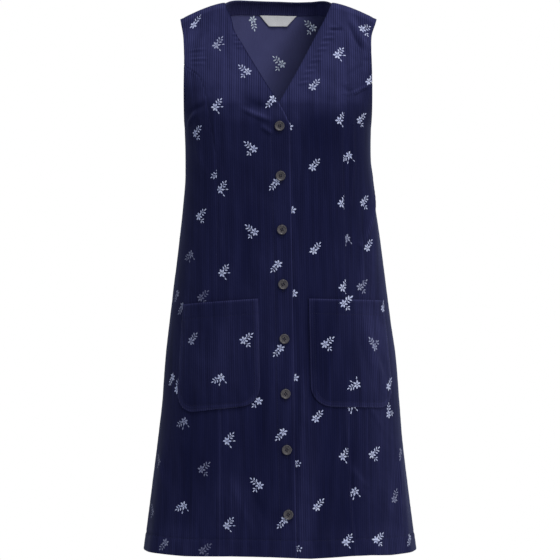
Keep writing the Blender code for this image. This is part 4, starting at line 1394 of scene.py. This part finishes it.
def button_thread(number, drop, finish):
    """The threads that hold a button: two bars between its holes and a short shank behind it."""
    bm = bmesh.new()
    reach = BUTTON_HOLE_REACH * math.sin(math.radians(45))
    for x in (-reach - BAR_HALF_GAP, -reach + BAR_HALF_GAP, reach - BAR_HALF_GAP, reach + BAR_HALF_GAP):
        made = bmesh.ops.create_uvsphere(bm, u_segments=6, v_segments=6, radius=1.0)
        bmesh.ops.scale(bm, verts=made["verts"], vec=BAR_SIZE)
        bmesh.ops.translate(bm, verts=made["verts"], vec=(x, 0.0, BUTTON_THICKNESS - BUTTON_DISH + 0.0001))
    post(bm, 0.0021, 0.0019, BUTTON_GAP * 1.6, (0.0, 0.0, -BUTTON_GAP / 2), 10, False)
    bmesh.ops.transform(bm, matrix=button_place(number, drop), verts=bm.verts)
    bmesh.ops.recalc_face_normals(bm, faces=bm.faces)
    return mesh_object(f"button_{number}_thread", bm, finish)


def buttonhole(number, drop, finish):
    """A slim upright loop of close stitches round the slit that the button passes through."""
    half = BUTTONHOLE_LENGTH / 2
    wide = BUTTONHOLE_WIDTH / 2
    turn = np.radians(np.linspace(-90.0, 90.0, 7))
    straight = np.linspace(-half, half, 34)[1:-1]
    x = np.concatenate([np.full(32, wide), -wide * np.sin(turn), np.full(32, -wide), wide * np.sin(turn)])
    y = np.concatenate([straight, half + wide * np.cos(turn), -straight, -half - wide * np.cos(turn)])
    line = float(button_line(np.array([drop]))[0])
    thick = BUTTONHOLE_THREAD * (1.0 + 0.16 * np.cos(np.pi * np.arange(len(x))))
    centres, out = scattered("front_right", line + x, drop - y + BUTTONHOLE_DROP, CLOTH / 2 + 0.0001)
    return tube(f"buttonhole_{number}", centres, out, thick, finish, closed=True)


# ---- finishes


class Signal:
    """A value that runs through a node tree. Sums and products of signals put their nodes in the tree."""

    def __init__(self, sheet, socket):
        self.sheet = sheet
        self.socket = socket

    def __add__(self, other):
        return self.sheet.math("ADD", self, other)

    def __sub__(self, other):
        return self.sheet.math("SUBTRACT", self, other)

    def __mul__(self, other):
        return self.sheet.math("MULTIPLY", self, other)

    def __truediv__(self, other):
        return self.sheet.math("DIVIDE", self, other)

    def __pow__(self, other):
        return self.sheet.math("POWER", self, other)


class Sheet:
    """A node tree being wired up, with short ways to add and join nodes."""

    def __init__(self, tree):
        self.tree = tree

    def feed(self, socket, value):
        """A socket takes a signal or a fixed value. A colour of three parts is opaque."""
        if isinstance(value, Signal):
            self.tree.links.new(value.socket, socket)
        elif socket.type == "RGBA":
            socket.default_value = (*value, 1.0)
        else:
            socket.default_value = value

    def node(self, kind, inputs=(), **settings):
        made = self.tree.nodes.new(kind)
        for name, value in settings.items():
            setattr(made, name, value)
        for label, value in dict(inputs).items():
            self.feed(made.inputs[label], value)
        return made

    def out(self, kind, inputs=(), output=0, **settings):
        return Signal(self, self.node(kind, inputs, **settings).outputs[output])

    def split(self, vector):
        return [Signal(self, socket) for socket in self.node("ShaderNodeSeparateXYZ", {0: vector}).outputs]

    def math(self, operation, *values):
        return self.out("ShaderNodeMath", enumerate(values), operation=operation)

    def range(self, value, low, high, to_low=0.0, to_high=1.0):
        labels = ("Value", "From Min", "From Max", "To Min", "To Max")
        values = zip(labels, (value, low, high, to_low, to_high))
        return self.out("ShaderNodeMapRange", values, "Result", clamp=True)

    def mix(self, share, first, second):
        values = {"Factor": share, "A": first, "B": second}
        return self.out("ShaderNodeMix", values, "Result", data_type="RGBA")

    def wave(self, operation, value):
        """A sine or cosine that runs between 0 and 1."""
        return self.math(operation, value) * 0.5 + 0.5

    def noise(self, place, scale=1.0, detail=2.0, roughness=0.5):
        """Noise at a vector, or at a place given by its coordinates."""
        if isinstance(place, tuple):
            place = self.out("ShaderNodeCombineXYZ", enumerate(place))
        values = {"Vector": place, "Scale": scale, "Detail": detail, "Roughness": roughness}
        return self.out("ShaderNodeTexNoise", values, "Fac")

    def spot(self):
        return self.out("ShaderNodeTexCoord", output="Object")

    def cloth(self):
        return self.out("ShaderNodeUVMap", output="UV", uv_map="cloth")

    def written(self, name):
        return self.out("ShaderNodeAttribute", output="Fac", attribute_name=name)

    def shade(self, **values):
        """Feeds the inputs of the shader by their names."""
        for label, value in values.items():
            self.feed(self.tree.nodes["Principled BSDF"].inputs[label.replace("_", " ")], value)

    def finish(self, colour, roughness, height, bump, sheen=(), level=0.5):
        """Feeds the shader. A bump is its depth and strength, and a sheen its weight, roughness and tint."""
        bumped = {"Height": height, "Distance": bump[0], "Strength": bump[1]}
        normal = self.out("ShaderNodeBump", bumped, "Normal")
        self.shade(Base_Color=colour, Roughness=roughness, Normal=normal, Specular_IOR_Level=level)
        self.shade(**dict(zip(("Sheen_Weight", "Sheen_Roughness", "Sheen_Tint"), sheen)))


def material(name):
    made = bpy.data.materials.new(name)
    made.use_nodes = True
    return made, Sheet(made.node_tree)


COLOUR = "NodeSocketColor"
NUMBER = "NodeSocketFloat"
VECTOR = "NodeSocketVector"
PATTERN_GIVES = {"Colour": COLOUR, "Height": NUMBER, "Roughness": NUMBER}


def group(name, pattern, takes):
    """A shader group with named inputs, whose pattern gives a colour, a height and a roughness."""
    tree = bpy.data.node_groups.new(name, "ShaderNodeTree")
    for in_out, sockets in (("INPUT", takes), ("OUTPUT", PATTERN_GIVES)):
        for label, kind in sockets.items():
            tree.interface.new_socket(name=label, in_out=in_out, socket_type=kind)
    sheet = Sheet(tree)
    start = sheet.node("NodeGroupInput").outputs
    results = pattern(sheet, *(Signal(sheet, start[label]) for label in takes))
    sheet.node("NodeGroupOutput", zip(PATTERN_GIVES, results))
    return tree


RIB_WANDER = 0.0016
RIB_FULLNESS = 0.7


def wales(sheet, place, rib_width, nap_and_light, groove_colour, rib_colour, painted_light_colour):
    """Corduroy: upright ribs of pile, no two alike, in streaks and patches, paler where painted light is
    written on it.
    """
    u, v, _ = sheet.split(place)
    sway = sheet.noise((u * 3.0, v * 9.0), detail=1.0)
    ribs = (u + (sway - 0.5) * RIB_WANDER) / rib_width
    wave = sheet.wave("COSINE", ribs * (2 * math.pi)) ** RIB_FULLNESS
    number = sheet.math("FLOOR", ribs + 0.5)
    own = sheet.range(sheet.noise((number * 7.31, v * 5.0), roughness=0.6), 0.30, 0.70)
    pair = sheet.range(sheet.noise((number * 0.43, v * 7.0, 4.0), detail=1.0), 0.35, 0.65)
    brush = sheet.range(sheet.noise((u * 420.0, v * 34.0), detail=3.0, roughness=0.6), 0.30, 0.75)
    patch = sheet.range(sheet.noise((u * 11.0, v * 7.0, 2.0)), 0.30, 0.75)
    fluff = sheet.noise((u * 1900.0, v * 1500.0))
    # how clearly the ribs show: most where the pile is pale, mostly painted light
    clear = sheet.range(nap_and_light * 1.05 + (patch - 0.4) * 0.22, 0.06, 0.60, 0.16, 0.90)
    rise = (wave - 0.5) * clear
    light = rise + ((own - 0.5) * 0.32 + 0.5 + (pair - 0.5) * 0.22)
    ground = sheet.mix(sheet.range(light, 0.0, 1.0), groove_colour, rib_colour)
    # slanting strokes of a hand over the pile, and thin upright streaks
    stroked = sheet.noise((u * 30.0 + v * 22.0, v * 16.0, 7.0), detail=3.0, roughness=0.6)
    stroked = (sheet.range(stroked, 0.30, 0.70) - 0.5) * 0.42
    # the mix towards the pale colour by the written paleness: painted light
    pale = nap_and_light * (stroked + 0.40 + light * 0.80) + brush * (pair * patch) * 0.16
    height = rise + fluff * 0.14 + own * 0.10
    return sheet.mix(pale, ground, painted_light_colour), height, sheet.range(wave, 0.0, 1.0, 0.98, 0.80)


def weave(sheet, place, thread, dark, light_colour):
    """Plain woven cloth: warp over weft, with slubs and slow unevenness."""
    u, v, _ = sheet.split(place)
    turn = sheet.math("DIVIDE", math.pi, thread)
    over = sheet.math("SINE", u * turn) * sheet.math("SINE", v * turn) * 0.5 + 0.5
    slub = sheet.noise((u * 900.0, v * 60.0))
    slow = sheet.range(sheet.noise((u * 14.0, v * 14.0, 3.0), detail=3.0), 0.3, 0.7)
    light = over * 0.35 + slub * 0.45 + slow * 0.25
    colour = sheet.mix(light, dark, light_colour)
    return colour, over + slub * 0.5, sheet.range(light, 0.2, 0.8, 0.92, 0.74)


RIBS = group(
    "corduroy_ribs",
    wales,
    {"Place": VECTOR, "Rib width": NUMBER, "NapAndLight": NUMBER, "Groove": COLOUR, "Rib": COLOUR, "PaintedLight": COLOUR},
)
WEAVE = group("plain_weave", weave, {"Place": VECTOR, "Thread": NUMBER, "Dark": COLOUR, "Light": COLOUR})
RIB_WIDTH = 0.0039
NECK_SLANT = 0.53
# colour of the painted shade inside the back, where the wearer's left front lies over it
SHADE_UNDER_FRONT = (0.013, 0.015, 0.058)
# colour that sprigs in painted shade are mixed towards
SPRIG_SHADE_COLOUR = (0.040, 0.040, 0.120)
SATIN_PITCH = 0.0004
BLUE_SHEEN = (0.8, 0.85, 1.0)
PILE_SHEEN = (0.55, 0.62, 1.0)
THREAD_SHEEN = (0.6, 0.65, 1.0)


def patterned(sheet, tree, inputs):
    """The three outputs of a pattern's group."""
    made = sheet.node("ShaderNodeGroup", node_tree=tree)
    for label, value in inputs.items():
        sheet.feed(made.inputs[label], value)
    return [Signal(sheet, socket) for socket in made.outputs]


def corduroy_finish(name, groove_colour, rib_colour, painted_light_colour, sheen):
    made, sheet = material(name)
    inputs = {"Place": sheet.cloth(), "NapAndLight": sheet.written("nap_and_light"), "Rib width": RIB_WIDTH}
    inputs |= {"Groove": groove_colour, "Rib": rib_colour, "PaintedLight": painted_light_colour}
    colour, height, roughness = patterned(sheet, RIBS, inputs)
    sheet.finish(colour, roughness, height, bump=(0.0007, 0.45), sheen=(sheen, 0.35, PILE_SHEEN), level=0.10)
    return made


def inside_light_and_shade(sheet, colour, pale):
    """Painted light and shade inside the back: paler low between the shoulders, painted shade under the
    wearer's left front.
    """
    x, _, z = sheet.split(sheet.spot())
    # painted light lower down, and painted shade along the wearer's left front
    low = sheet.range(z, -0.06, -0.15, 0.0, 0.70)
    under = sheet.range(x - z * NECK_SLANT, 0.040, 0.092, 0.0, 0.80)
    return sheet.mix(under, sheet.mix(low, colour, pale), SHADE_UNDER_FRONT)


def woven_finish(name, thread, dark, light, sheen=0.1, level=0.2, painted_light=False):
    made, sheet = material(name)
    inputs = {"Place": sheet.cloth(), "Thread": thread, "Dark": dark, "Light": light}
    colour, height, roughness = patterned(sheet, WEAVE, inputs)
    # painted light and shade on the inside of the back
    if painted_light:
        colour = inside_light_and_shade(sheet, colour, light)
    sheet.finish(colour, roughness, height, bump=(0.00015, 0.5), sheen=(sheen, 0.5, BLUE_SHEEN), level=level)
    return made


def embroidery_finish(name, dark, light):
    """Satin stitches across each leaf in pale blue thread, darker between them; painted shade dims some
    sprigs to navy.
    """
    made, sheet = material(name)
    along = sheet.split(sheet.cloth())[0]
    thread = sheet.wave("SINE", along * (2 * math.pi / SATIN_PITCH))
    uneven = sheet.range(sheet.noise(sheet.spot(), 160.0), 0.3, 0.7)
    own_thread = sheet.mix(thread * 0.35 + uneven * 0.65, dark, light)
    # painted shade: some sprigs mixed towards navy
    colour = sheet.mix(sheet.written("sprig_shade"), own_thread, SPRIG_SHADE_COLOUR)
    roughness = sheet.range(thread, 0.0, 1.0, 0.70, 0.48)
    sheet.finish(colour, roughness, thread, bump=(0.0002, 0.6), sheen=(0.25, 0.4, BLUE_SHEEN))
    return made


def sewing_finish(name, dark, light):
    """Twisted sewing thread."""
    made, sheet = material(name)
    ply = sheet.range(sheet.noise(sheet.spot(), 1400.0), 0.35, 0.65)
    slow = sheet.range(sheet.noise(sheet.spot(), 70.0, 1.0), 0.3, 0.7)
    colour = sheet.mix(ply * 0.6 + slow * 0.4, dark, light)
    roughness = sheet.range(ply, 0.0, 1.0, 0.75, 0.50)
    sheet.finish(colour, roughness, ply, bump=(0.0001, 0.5), sheen=(0.05, 0.4, THREAD_SHEEN), level=0.2)
    return made


def horn_finish(name, dark, light):
    """Polished horn: clouded streaks and faint turning marks under a thin gloss."""
    made, sheet = material(name)
    stretched = {"Vector": sheet.spot(), "Rotation": (0.4, 0.9, 0.5), "Scale": (1.0, 1.0, 0.22)}
    stretch = sheet.out("ShaderNodeMapping", stretched)
    cloud = sheet.range(sheet.noise(stretch, 520.0, 4.0, 0.6), 0.32, 0.70)
    fine = sheet.range(sheet.noise(stretch, 1900.0), 0.3, 0.7)
    colour = sheet.mix(cloud * 0.75 + fine * 0.25, dark, light)
    roughness = sheet.range(cloud, 0.0, 1.0, 0.30, 0.46)
    sheet.finish(colour, roughness, fine, bump=(0.00015, 0.25))
    sheet.shade(Coat_Weight=0.15, Coat_Roughness=0.25)
    return made


# Corduroy looks darker in its grooves. The third colour is painted light, the pale pile that the cloth turns
# to where its written paleness is high.
NAVY = ((0.0022, 0.0028, 0.0190), (0.0072, 0.0090, 0.0480), (0.0420, 0.0440, 0.1350))
# The facing's own copy of these colours, set for how light it looks inside the neck: painted light and shade
SHADED_NAVY = ((0.0065, 0.0065, 0.0330), (0.0160, 0.0160, 0.0680), (0.0400, 0.0410, 0.1250))
CORDUROY = corduroy_finish("corduroy", *NAVY, 0.12)
FACING_CORD = corduroy_finish("facing_corduroy", *SHADED_NAVY, 0.06)
FADED_NAVY = ((0.042, 0.044, 0.130), (0.090, 0.094, 0.240))
WRONG_SIDE = woven_finish("corduroy_wrong_side", 0.0006, *FADED_NAVY, painted_light=True)
LABEL_TAPE = woven_finish("label_tape", 0.0004, (0.66, 0.66, 0.68), (0.90, 0.90, 0.92), 0.15, 0.35)
EMBROIDERY = embroidery_finish("embroidery_thread", (0.42, 0.47, 0.78), (0.70, 0.75, 0.95))
# a paler copy of the thread for the inside sprigs, painted light where little light reaches
INNER_EMBROIDERY_LIT = embroidery_finish("embroidery_wrong_side_lit", (0.62, 0.74, 1.00), (0.88, 0.94, 1.00))
NAVY_THREAD = sewing_finish("navy_thread", (0.007, 0.008, 0.032), (0.020, 0.022, 0.070))
HORN = horn_finish("dark_horn", (0.022, 0.020, 0.023), (0.125, 0.112, 0.120))


# ---- building the dress


def build():
    """Makes every piece, and gives the cloth ones by name."""
    cloth = (CORDUROY, WRONG_SIDE)
    sheets = []
    for side, word in SIDE_WORD.items():
        sheets.append(settle(centre_front(side, cloth), f"front_{word}"))
        sheets.append(settle(side_front(side, cloth), f"side_front_{word}"))
        sheets.append(settle(pocket(f"pocket_{word}", cloth), f"pocket_{word}"))
        settle(pocket_stitching(f"pocket_{word}", NAVY_THREAD))
        for panel in (f"front_{word}", f"side_front_{word}", f"pocket_{word}"):
            settle(embroider(panel + "_embroidery", panel, front_places(panel), EMBROIDERY))
    sheets.append(settle(back(cloth), "back"))
    places = back_places()
    settle(embroider("back_embroidery", "back", places, EMBROIDERY))
    settle(embroider("back_embroidery_inside", "back", places, INNER_EMBROIDERY_LIT, inside=True))
    settle(body_stitching(NAVY_THREAD))
    sheets.append(settle(back_neck_facing((FACING_CORD,)), "back_neck_facing"))
    sheets.append(settle(neck_label((LABEL_TAPE,)), "neck_label"))
    for number, drop in enumerate(BUTTON_DROPS, start=1):
        settle(button(number, drop, HORN), f"button_{number}")
        settle(button_thread(number, drop, NAVY_THREAD))
        settle(buttonhole(number, drop, NAVY_THREAD))
    return {sheet.name: sheet for sheet in sheets}


SHEETS = build()

# Each piece's cut: the width and the length of the cloth it was cut from, and its area.
Cut = namedtuple("Cut", "width length area rests_on")
CUTS = {
    "front_right_cloth": Cut(0.240, 0.985, 0.135, ("front_left",)),
    "front_left_cloth": Cut(0.205, 0.985, 0.135, ("side_front_left",)),
    "side_front_right_cloth": Cut(0.180, 0.870, 0.130, ("back",)),
    "side_front_left_cloth": Cut(0.165, 0.835, 0.115, ("back",)),
    "back_cloth": Cut(0.600, 0.990, 0.490, ("front_right",)),
    "pocket_right_cloth": Cut(0.165, 0.198, 0.030, ("front_right",)),
    "pocket_left_cloth": Cut(0.170, 0.194, 0.031, ("front_left",)),
    "back_neck_facing_cloth": Cut(0.250, 0.026, 0.0060, ("back",)),
    "neck_label_tape": Cut(0.070, 0.021, 0.0010, ("back",)),
}
for name, cut in CUTS.items():
    list(cut.rests_on)


# ---- floor, light and camera

CAMERA_PLACE = (0.0009, -4.5, -0.4947)
LENS = 162.0
SENSOR = 36.0
FAR = 50.0
FLOOR_LEVEL = -1.43
FLOOR_RADIUS = 1.5
FLOOR_COLOUR = (0.82, 0.82, 0.82)
FLOOR_ROUGHNESS = 0.7
AMBIENT = 0.30
AMBIENT_COLOUR = (0.94, 0.97, 1.0)
WHITE = (1.0, 1.0, 1.0)
PALE_BLUE = (0.40, 0.58, 1.0)
Lamp = namedtuple("Lamp", "name place aim size power colour")
LAMPS = (
    Lamp("overhead", (0.6, -1.5, 2.8), (0.0, 0.0, -0.30), 1.4, 64.0, WHITE),
    Lamp("key", (2.04, -2.70, 1.15), (0.0, 0.0, -0.20), 0.8, 26.5, WHITE),
    Lamp("side", (2.6, -0.5, -0.9), (0.0, 0.0, -0.80), 1.2, 12.0, WHITE),
    Lamp("fill", (-2.6, -1.8, -0.1), (-0.1, 0.0, -0.45), 1.4, 7.0, PALE_BLUE),
)


def floor():
    bm = bmesh.new()
    bmesh.ops.create_circle(bm, cap_ends=True, segments=96, radius=FLOOR_RADIUS)
    bmesh.ops.translate(bm, verts=bm.verts, vec=(0.0, 0.0, FLOOR_LEVEL))
    finish, sheet = material("pale_floor")
    sheet.shade(Base_Color=FLOOR_COLOUR, Roughness=FLOOR_ROUGHNESS)
    mesh_object("floor", bm, finish, smooth=False)


def studio():
    """A white room that shines less on the dress than it looks."""
    world = bpy.data.worlds.new("studio")
    bpy.context.scene.world = world
    world.use_nodes = True
    world.node_tree.nodes.clear()
    sheet = Sheet(world.node_tree)
    shining = sheet.out("ShaderNodeBackground", {"Color": AMBIENT_COLOUR, "Strength": AMBIENT})
    seen = sheet.out("ShaderNodeBackground", {"Color": WHITE})
    camera_ray = sheet.out("ShaderNodeLightPath", output="Is Camera Ray")
    room = sheet.out("ShaderNodeMixShader", {0: camera_ray, 1: shining, 2: seen})
    sheet.node("ShaderNodeOutputWorld", {"Surface": room})


def soft_light(row):
    lamp = bpy.data.lights.new(row.name, "AREA")
    lamp.shape = "DISK"
    lamp.size = row.size
    lamp.energy = row.power
    lamp.color = row.colour
    made = placed(row.name, lamp)
    made.location = row.place
    made.rotation_euler = (Vector(row.aim) - Vector(row.place)).to_track_quat("-Z", "Y").to_euler()


floor()
studio()
for lamp_row in LAMPS:
    soft_light(lamp_row)

eye = bpy.data.cameras.new("camera")
eye.lens = LENS
eye.sensor_width = SENSOR
eye.clip_end = FAR
camera = placed("camera", eye)
camera.location = CAMERA_PLACE
camera.rotation_euler = (math.radians(90.0), 0.0, 0.0)
bpy.context.scene.camera = camera
bpy.context.scene.view_settings.view_transform = "Standard"
